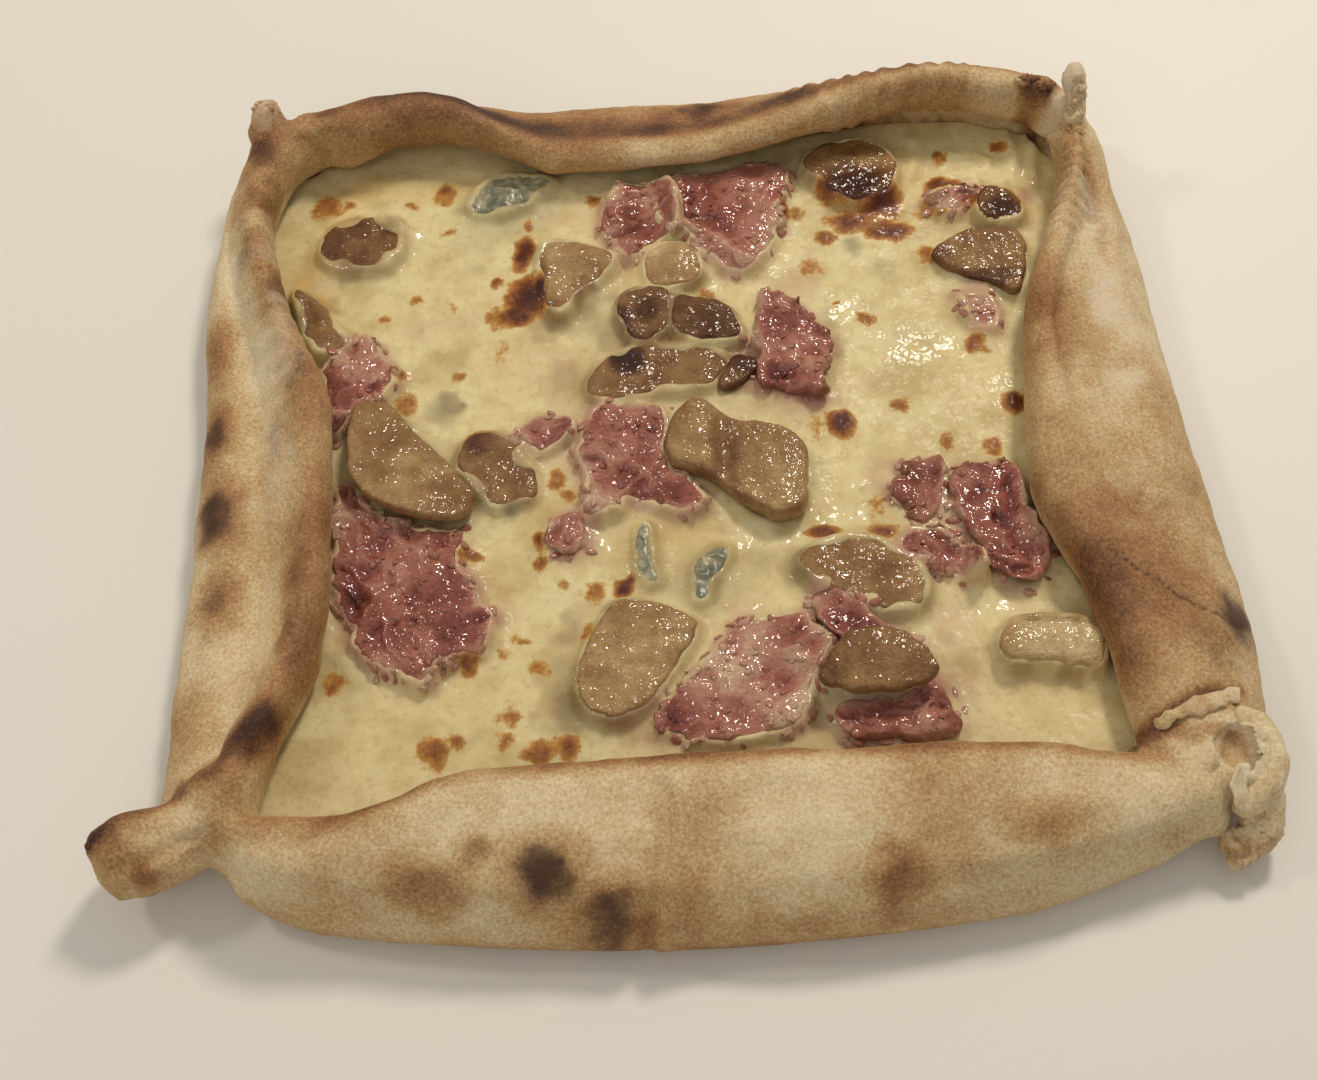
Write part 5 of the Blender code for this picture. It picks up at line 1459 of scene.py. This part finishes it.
blue_cheese, tree, shader, place = new_material("melted_blue_cheese")
mould = add_node(tree, "ShaderNodeTexNoise", None, {
    "Vector": place, "Scale": per_metre(4.0), "Detail": 5.0, "Roughness": 0.65,
    "Distortion": 0.6}).outputs["Fac"]
curd_colour = add_node(tree, "ShaderNodeValToRGB", None, {"Fac": mould}, [
    (0.3, "#4F5445"), (0.45, "#77765C"), (0.55, "#97906F"), (0.7, "#B9AE86")]).outputs["Color"]
grit = add_node(tree, "ShaderNodeTexNoise", None, {
    "Vector": place, "Scale": per_metre(1.4), "Detail": 3.0}).outputs["Fac"]
bumps = add_node(tree, "ShaderNodeBump", None, {
    "Strength": 0.5, "Distance": 0.6 * MM, "Height": grit}).outputs["Normal"]
fill_inputs(tree, shader, {
    "Base Color": curd_colour, "Normal": bumps, "Roughness": 0.35, "Coat Weight": 0.3,
    "Coat Roughness": 0.2, "Subsurface Weight": 0.2, "Subsurface Radius": (1.0, 0.9, 0.6),
    "Subsurface Scale": 2.0 * MM})

for name in BLUE_CHEESE:
    add_piece(name.replace("cheese", "cheese_curd"), blue_mound(name), blue_cheese, [name])
print("blue cheese pieces:", len(BLUE_CHEESE))

# %% [markdown]
# ## Melted cheese
#
# The cheese is a shallow pool: it laps up against every piece that lies in it, creeps over thin edges,
# and rises in blisters that brown. A pool with no overhangs is a height for each x and y, so one fine
# grid makes it. Near a topping the height is lifted towards that topping's edge and falls away over a
# few millimetres, as a melted film does.

# %% Melted cheese
CHEESE_CELL = 0.85
LAP_REACH = 12
# How far the cheese goes on under the lip at each place on the rim, in millimetres.
CHEESE_UNDER_LIP = {0.5: 4, 1.5: 4, 2.0: 6, 2.2: 13, 2.8: 13, 3.0: 6, 3.5: 4}
BASE_THICKNESS, GAP, CHEESE_THICKNESS = 4.0, 0.4, 3.4
WALL_THICKNESS, CHEESE_TO_WALL = 7.5, 0.5
# How far the cheese has crept over each slice's rim, where it has crept at all, in millimetres.
CREEP = {
    "mushroom_half_sunk": 2.4, "mushroom_thin_wide": 1.2, "mushroom_upper_slice": 1.2,
    "mushroom_wide_oval": 1.5, "mushroom_gills": 1.0, "mushroom_dark_half": 0.5,
    "mushroom_large_front": 0.3, "mushroom_browned_cap": 2.2, "mushroom_button": 0.8,
    "mushroom_crisp_bit": 1.0, "mushroom_under_back_lip": 1.0, "mushroom_by_left_lip": 1.4,
    "mushroom_curled_stem": 0.3, "ham_left": 0.6, "ham_back_strip": 0.9, "ham_back_fold": 0.5,
    "ham_centre": 0.5, "ham_front": 0.6, "ham_by_right_lip": 1.2, "ham_shred": 0.6, "ham_right_tail": 0.6,
    "ham_tuft": 0.4, "ham_upper_left": 0.4, "blue_cheese_back": 1.4, "blue_cheese_long": 0.8,
    "blue_cheese_short": 0.8,
}
# Ridges in the cheese: a line of places, how wide the ridge is, and how high.
CHEESE_FOLDS = [
    ([(70.4, 103), (70.7, 96.6), (68.8, 90)], 2.2, 1.5),
    ([(98.6, 105.8), (99.8, 95.6), (97.3, 86.6), (97.8, 79.1)], 2.0, 1.5),
    ([(107, 105), (105.3, 96.7), (104.3, 87.6)], 1.8, 1.3),
    ([(77.1, 93.9), (79.4, 98.1), (83.6, 96.3), (87.7, 97.1), (91.4, 95.3), (91.9, 91.5),
      (87.2, 89.5)], 1.3, 1.0),
    ([(76.2, 86.4), (79.3, 89.2), (83.8, 89.7), (87, 88), (87.5, 84.2), (84.4, 81.4)], 1.3, 1.1),
    ([(-104, -30), (-96, -28), (-92, -34), (-93, -48), (-92, -58)], 2.4, 1.3),
    ([(-88, -60), (-84, -66)], 2.0, 1.0),
    ([(-29, -76), (-34, -68), (-36, -60)], 2.6, 0.9), ([(60, -60), (66, -70), (66, -82)], 2.6, 0.8),
    ([(-0.5, 46), (-0.9, 38), (-0.6, 31)], 1.6, 1.2), ([(3, -24), (14, -34), (26, -36)], 3.0, 0.7),
    ([(-60, 92), (-72, 96), (-86, 96)], 3.0, 0.7), ([(40, -18), (48, -14), (52, -4)], 3.0, 0.8),
]
SCORCHED_AND_SHADED = [
    ((-44, 66), (4, 8), 0.95), ((-42, 50), (9, 9), 1.0), ((-46, 44), (7, 5), 0.9), ((-38, 52), (6, 5), 1.0),
    ((-101, 87), (6, 6), 0.5), ((-95, 88), (3, 3), 0.5), ((-67, 91), (4, 5), 0.62),
    ((-24, 85), (3.5, 3), 0.5), ((-43, 77), (2.5, 2.5), 0.55), ((-66, 75), (3.5, 2), 0.35),
    ((-74, 51), (2.5, 2.5), 0.4), ((-83, 45), (2, 2), 0.4), ((-64, 48), (2, 2), 0.35),
    ((-62, 24), (3, 2), 0.5), ((-52, 56), (3, 3), 0.6), ((-77, 86), (2, 2), 0.45), ((-75, 15), (4, 5), 0.5),
    ((-78, 25), (3, 3), 0.6), ((29, 77), (4, 4), 0.7), ((42, 67), (4, 3), 0.6), ((46, 84), (7, 7), 0.9),
    ((58, 80), (9, 8), 0.9), ((60, 69), (9, 5), 0.8), ((50, 73), (10, 5), 0.75), ((37, 57), (4, 4), 0.4),
    ((7, 48), (4, 3), 0.5), ((50, 37), (3, 3.5), 0.6), ((42, 43), (1.5, 1.5), 0.5),
    # The spot at (86, 7) is painted shade on the cheese under the right lip.
    ((79, 27), (4, 4), 0.65), ((56, 8), (4, 3), 0.6), ((86, 7), (4, 5), 0.8), ((40, 3), (5, 5.5), 0.95),
    ((95, 100), (4, 2.5), 0.6), ((77, 85), (6, 4), 0.8), ((93, 74), (5, 5), 0.7), ((78, 96), (3, 4), 0.5),
    ((84, 76), (8, 4), 0.6), ((-56, 0), (5, 5), 0.6), ((-35, -11), (3, 4), 0.5), ((-33, -16), (3, 3), 0.5),
    ((-40, -30), (2.5, 4), 0.75), ((-40, -36), (2.5, 2.5), 0.6), ((-57, -33), (4, 2.5), 0.65),
    ((-34, -43), (2, 2), 0.45), ((-26, -45), (3.5, 4), 0.55), ((-19, -44), (3.6, 3.8), 1.0),
    ((-28, -57), (2.5, 4), 0.5), ((-49, -60), (2, 2), 0.4), ((-45, -57), (3, 2), 0.4),
    ((-40, -65), (4, 3), 0.45), ((-57, -64), (3, 4), 0.65), ((-90, -67), (4, 3), 0.55),
    ((-47, -78), (4, 3), 0.45), ((-48, -84), (3, 3), 0.5), ((-40, -87), (5, 4), 0.6),
    ((-33, -86), (4.5, 4), 0.65), ((-65, -86), (5, 5), 0.62), ((-59, -84), (3, 3), 0.55),
    ((32, -31), (5, 3), 0.75), ((47, -31), (5, 3), 0.8), ((67, -5), (3, 4), 0.55), ((79, -6), (4, 4), 0.55),
    ((33, 2), (3, 6), 0.3), ((34, 77), (3, 3), 0.5), ((73, 75), (6, 4), 0.5), ((69, 58), (3, 5), 0.6),
    ((47, -23), (4, 6), 0.3), ((-52, 44), (3, 6), 0.45), ((-50, 32), (3, 5), 0.25),
]
YELLOWED = [
    ((-70, 92), (20, 10), 0.6), ((-92, 94), (14, 8), 0.6), ((-10, -32), (16, 10), 0.5),
    ((-104, 60), (6, 14), 0.7), ((-97, 50), (4, 10), 0.7), ((-60, -70), (30, 16), 0.2),
    ((60, 90), (16, 12), 0.3), ((90, 78), (12, 10), 0.4), ((-98, 80), (8, 12), 0.4),
    ((-85, -86), (16, 8), 0.3), ((25, -24), (10, 8), 0.25), ((84, -82), (14, 8), 0.2),
    ((10, -40), (12, 12), 0.3), ((-30, -70), (8, 14), 0.3),
]
BLUSHED = [
    ((32, 54), (5, 12), 0.6), ((30, 10), (14, 8), 0.55), ((-14, 62), (10, 8), 0.5),
    ((62, -66), (10, 18), 0.55), ((48, -18), (8, 10), 0.5), ((-88, -36), (9, 24), 0.7),
    ((-44, 28), (14, 10), 0.35), ((-66, 44), (14, 5), 0.45), ((-60, -48), (14, 18), 0.5),
    ((-12, -80), (12, 9), 0.5), ((-28, -8), (14, 18), 0.45), ((28, -84), (8, 6), 0.4),
    ((6, -54), (14, 8), 0.4), ((-78, 16), (8, 12), 0.4), ((82, 80), (14, 8), 0.4), ((101, 81), (4, 5), 0.9),
    ((-30, 80), (14, 6), 0.3), ((66, -40), (12, 10), 0.4), ((36, -82), (10, 6), 0.4),
    ((50, 14), (8, 8), 0.2),
]
TANNED = [
    ((-9, 38), (26, 18), 1.0), ((-11, 20), (30, 13), 1.0), ((14, 21), (13, 9), 0.9),
    ((-34, -72), (9, 17), 1.0), ((-30, -56), (6, 8), 0.8), ((-28, 47), (7, 8), 1.0),
    ((-52, -8), (14, 14), 0.8), ((-65, 12), (5, 8), 0.9), ((28, -40), (8, 8), 0.6),
    ((50, 77), (16, 7), 0.8), ((78, 66), (12, 5), 0.6), ((-90, 70), (15, 13), 0.6),
    ((-100, 50), (6, 12), 0.6), ((24, -26), (9, 6), 0.5), ((6, -22), (6, 8), 0.5),
    ((84, -74), (16, 4), 0.4), ((90, 80), (10, 6), 0.5), ((-36, 40), (7, 6), 0.5), ((-4, 53), (12, 5), 0.6),
    ((40, 30), (4, 12), 0.3), ((-12, -82), (18, 6), 0.5), ((-66, -84), (14, 6), 0.3),
    ((36, 94), (10, 10), 0.5), ((-20, -50), (14, 5), 0.5),
]
GREENED = [
    ((-61, 15), (1.6, 1.8), 1.0), ((-47, -20), (3.5, 2.5), 0.9), ((49, 64), (3.5, 5), 0.8),
    ((57, 55), (6, 6), 0.3), ((-58, 73), (9, 9), 0.3), ((-58, 62), (4, 4), 0.3), ((-48, 84), (18, 14), 0.5),
    ((2, -42), (14, 12), 0.5), ((-12, -36), (6, 12), 0.5), ((14, -38), (7, 7), 0.35),
    ((-66, 14), (5, 7), 0.5), ((60, 33), (4, 3), 0.2), ((-33, -72), (5, 14), 0.45),
    ((24, -42), (6, 6), 0.3),
]


def cheese_outline():
    """The pool's edge, which lies a little way under the folded lips."""
    stations = np.linspace(0, 4, 720, endpoint=False)
    wall = eased(OUTER_EDGE, stations) - WALL_THICKNESS
    edge = np.minimum(eased(LIP_LINE, stations) + eased(CHEESE_UNDER_LIP, stations), wall - CHEESE_TO_WALL)
    side = np.floor(stations).astype(int) % 4
    along = 2 * (stations - np.floor(stations)) - 1
    ones = np.ones_like(along)
    return np.column_stack([edge * np.choose(side, [along, ones, -along, -ones]),
                            edge * np.choose(side, [-ones, along, ones, -along])])


def bare_cheese(x, y):
    """The height of the solid's own cheese surface, with the fine unevenness of melted curd."""
    swell = np.array([noise.noise(Vector((a / 26, b / 26, 3.7)))
                      + 0.5 * noise.noise(Vector((a / 11, b / 11, 8.1))) for a, b in zip(x, y)])
    flat = on_the_flat(x, y)
    fine = 0.3 * ripple(flat, 8, 100) + 0.12 * ripple(flat, 3.6, 101) + 0.04 * ripple(flat, 1.8, 102)
    return BASE_THICKNESS + GAP + CHEESE_THICKNESS + 0.55 * swell + fine


def top_of(name, x, y, depth):
    """The height of any topping's top at these places."""
    maker = mushroom_top if name in MUSHROOMS else ham_top if name in HAM else blue_top
    return maker(name, x, y, np.maximum(depth, 0))[0]


def lapped_cheese(x, y):
    """The cheese's height, lifted against every topping, and crept over the rims of some."""
    flat = on_the_flat(x, y)
    uneven = ripple(flat, 5.5, 103)
    bare = bare_cheese(x, y)
    blisters = soft_spots(*shaken(x, y, flat, 1, 3, 104), SCORCHED_AND_SHADED)
    bare += 0.8 * smooth_step(0.1, 0.7, blisters) * (0.6 + 0.6 * ripple(flat, 2.4, 106))
    for fold, width, high in CHEESE_FOLDS:
        bare += high * by_line(x, y, fold, width)
    level, film = bare.copy(), np.full(len(x), -1.0)
    nearest, nearest_ham = np.full(len(x), 99.0), np.full(len(x), 99.0)
    limits = []
    for name, line in outlines.items():
        low, high = line.min(0) - LAP_REACH, line.max(0) + LAP_REACH
        near = np.flatnonzero((x > low[0]) & (x < high[0]) & (y > low[1]) & (y < high[1]))
        at_x, at_y = x[near], y[near]
        depth = depth_inside(line, at_x, at_y)[0]
        # Outside the topping, the cheese climbs towards its edge. Inside, it drops away below its top.
        edge = lies[name].height(at_x, at_y)
        sunk = 0.25 if name in HAM else 0.1
        meet = np.clip(edge + sunk - bare[near], 0, 2.2) * np.clip(0.85 + 0.6 * uneven[near], 0.4, 1)
        away = np.clip(-depth / (8.0 + 3.0 * uneven[near]), 0, 1)
        rise = np.where(depth < 0, meet * (1 - away) ** 2.6, meet - 0.35 * depth)
        level[near] = np.maximum(level[near], bare[near] + rise)
        # No lap from a neighbour may bury a topping, so its own top is a limit, kept for the end.
        highest = top_of(name, at_x, at_y, depth) + sunk - 0.9 * depth
        limits.append((near, np.where(depth > 0, highest, 99.0)))
        whose = nearest_ham if name in HAM else nearest
        whose[near] = np.minimum(whose[near], np.maximum(-depth, 0))
        if name in CREEP:
            # A film that follows the topping's top for as far as it has crept, and then dives below it.
            creep = CREEP[name] * (1 + 1.6 * uneven[near])
            over = smooth_step(-0.9, 0.9, creep - depth)
            spread = top_of(name, at_x, at_y, depth + 0.9) - 1.3 + 1.7 * over
            film[near] = np.maximum(film[near], np.where(depth > -0.9, spread, -1.0))
    for near, limit in limits:
        level[near] = np.minimum(level[near], np.maximum(limit, 5.0))
    return np.maximum(level, film), nearest, nearest_ham


def cheese_mesh():
    """The closed pool, painted with how near a slice and how near the ham each point lies."""
    x, y, depth, rim, faces = clipped_grid(cheese_outline(), CHEESE_CELL)
    height, nearest, nearest_ham = lapped_cheese(x, y)
    height = np.where(rim, height - 0.4, height)
    mesh = bpy.data.meshes.new("cheese_pool")
    mesh.from_pydata((np.column_stack([x, y, height]) * MM).tolist(), [], faces.tolist())
    paint_on(mesh, "by_slice", bell(nearest, 1.8))
    paint_on(mesh, "by_ham", bell(nearest_ham, 2.6))
    shape = bmesh.new()
    shape.from_mesh(mesh)
    bmesh.ops.remove_doubles(shape, verts=shape.verts, dist=2e-5)
    for _ in range(2):
        bmesh.ops.smooth_vert(shape, verts=shape.verts, factor=0.5, use_axis_z=True)
    edge = [line for line in shape.edges if line.is_boundary]
    wall = bmesh.ops.extrude_edge_only(shape, edges=edge)["geom"]
    for corner in (part for part in wall if isinstance(part, bmesh.types.BMVert)):
        corner.co.z = (BASE_THICKNESS + GAP) * MM
    bmesh.ops.holes_fill(shape, edges=[line for line in shape.edges if line.is_boundary], sides=0)
    bmesh.ops.recalc_face_normals(shape, faces=shape.faces)
    shape.to_mesh(mesh)
    shape.free()
    return mesh


pool = cheese_mesh()
print("cheese faces:", len(pool.polygons))

# %% [markdown]
# ## The melted cheese's finish
#
# This is melted mozzarella with some blue cheese in it: creamy, oily where the fat has run out, tinted
# by the ham beside it, and browned on its blisters. A scorched spot runs from straw through orange to
# a dark red-brown, so it has a ramp of its own. The same ramp also paints the shade on the cheese under
# the right lip, as one of the scorched spots. The oil is a thin coat over a softer sheen.

# %% The melted cheese's finish
melted_mozzarella, tree, shader, place = new_material("melted_mozzarella")
scorch_and_shade_in, yellow_in, blush_in, green_in, tan_in, wetness = (
    add_node(tree, "ShaderNodeAttribute", {"attribute_name": painting}).outputs["Fac"]
    for painting in ("scorch", "yellow", "blush", "green", "tan", "wet"))
curds, flecks, sponge, pimples, drops = (
    add_node(tree, "ShaderNodeTexNoise", None, {
        "Vector": place, "Scale": per_metre(size), "Detail": detail, "Roughness": rough}).outputs["Fac"]
    for size, detail, rough in ((13.0, 4.0, 0.55), (2.6, 5.0, 0.65), (1.3, 4.0, 0.7), (1.5, 3.0, 0.5),
                                (2.4, 1.0, 0.4)))
cream = add_node(tree, "ShaderNodeValToRGB", None, {"Fac": curds}, [
    (0.3, "#C3AE77"), (0.42, "#D2C08B"), (0.56, "#E0D19E"), (0.72, "#D2BE87")]).outputs["Color"]
fleck_share = add_node(tree, "ShaderNodeMapRange", None, {
    "Value": flecks, "From Min": 0.52, "From Max": 0.75, "To Min": 0.0, "To Max": 0.5}).outputs[0]
for tint, colour in ((fleck_share, "#B39A63"), (tan_in, "#8C7048"), (yellow_in, "#C99F4E"),
                     (blush_in, "#B58471"), (green_in, "#6A6A50")):
    cream = add_node(tree, "ShaderNodeMix", {"data_type": "RGBA"}, {
        0: tint, 6: cream, 7: linear(colour)}).outputs[2]
edges = add_node(tree, "ShaderNodeMath", {"operation": "ADD"}, {0: flecks, 1: sponge}).outputs[0]
edges = add_node(tree, "ShaderNodeMath", {"operation": "SUBTRACT"}, {0: edges, 1: 1.0}).outputs[0]
burnt_and_shade = add_node(tree, "ShaderNodeMath", {"operation": "MULTIPLY_ADD"}, {
    0: edges, 1: 0.45, 2: scorch_and_shade_in}).outputs[0]
browning = add_node(tree, "ShaderNodeValToRGB", None, {"Fac": burnt_and_shade}, [
    (0.08, "#D0AE68"), (0.28, "#B98940"), (0.5, "#98602A"), (0.75, "#683212"),
    (1.0, "#421808")]).outputs["Color"]
share = add_node(tree, "ShaderNodeMapRange", {"interpolation_type": "SMOOTHSTEP"}, {
    "Value": burnt_and_shade, "From Min": 0.04, "From Max": 0.34, "To Min": 0.0, "To Max": 1.0}).outputs[0]
cheese_colour = add_node(tree, "ShaderNodeMix", {"data_type": "RGBA"}, {
    0: share, 6: cream, 7: browning}).outputs[2]
bumps = add_node(tree, "ShaderNodeBump", None, {
    "Strength": 0.35, "Distance": 0.4 * MM, "Height": pimples}).outputs["Normal"]
bumps = add_node(tree, "ShaderNodeBump", None, {
    "Strength": 0.35, "Distance": 0.8 * MM, "Height": flecks, "Normal": bumps}).outputs["Normal"]
wet = add_node(tree, "ShaderNodeBump", None, {
    "Strength": 0.5, "Distance": 0.8 * MM, "Height": drops}).outputs["Normal"]
fill_inputs(tree, shader, {
    "Base Color": cheese_colour, "Normal": bumps, "Coat Normal": wet, "Coat Weight": wetness,
    "Coat Roughness": 0.1, "Roughness": 0.58, "Specular IOR Level": 0.3,
    "Subsurface Weight": 0.25, "Subsurface Radius": (1.0, 0.75, 0.4), "Subsurface Scale": 3.0 * MM})

points = points_of(pool)
x, y = points[:, :2].T
by_slice, by_ham = painted(pool, "by_slice"), painted(pool, "by_ham")
near = shaken(x, y, points, 1.3, 3.4, 110)
wide = shaken(x, y, points, 5, 14, 112)
patchy = smooth_step(-0.5, 0.5, ripple(points, 6, 115))
tan = 0.72 * np.sqrt(soft_spots(*shaken(x, y, points, 2.6, 3.4, 110), TANNED)) * (0.4 + 0.6 * patchy)
blush = 0.7 * soft_spots(*wide, BLUSHED) * (0.4 + 0.6 * patchy)
oily = 0.3 * smooth_step(0.15, 0.6, ripple(points, 15, 116))
# The scorch value holds the browned blisters and the painted shade under the right lip.
paint_on(pool, "scorch", soft_spots(*near, SCORCHED_AND_SHADED))
paint_on(pool, "yellow", 0.8 * soft_spots(*wide, YELLOWED) + 0.12 * ripple(points, 18, 114))
paint_on(pool, "tan", tan + 0.45 * by_slice * (0.3 + 0.7 * patchy))
paint_on(pool, "blush", blush + 0.75 * by_ham * (0.25 + 0.75 * patchy))
paint_on(pool, "green", 0.7 * soft_spots(*near, GREENED))
paint_on(pool, "wet", 0.04 + 0.4 * np.maximum(by_slice, by_ham) * patchy + oily)
add_piece("cheese_pool", pool, melted_mozzarella, ["melted_cheese"])
# The same points are painted once more, as the ground that shreds of ham are spread over.
paint_on(pool, "share", by_ham ** 5 * (by_ham < 0.999) * smooth_step(-0.6, 0.3, ripple(points, 7, 117)))
paint_on(pool, "crest", 0.62 + 0.3 * ripple(points, 3, 118))
shreds = scattered("ham_shreds_on_cheese", pool, cooked_ham, 3.0e5, seed=21, smallest=0.6, largest=1.5,
                   shape=(1.5, 0.9, 0.35), keep_surface=False)
add_piece("ham_shreds_on_cheese", shreds, cooked_ham)
print("faces in the ham shreds:", len(shreds.polygons))
print("cheese material nodes:", len(tree.nodes), "tan up to", painted(pool, "tan").max().round(2))
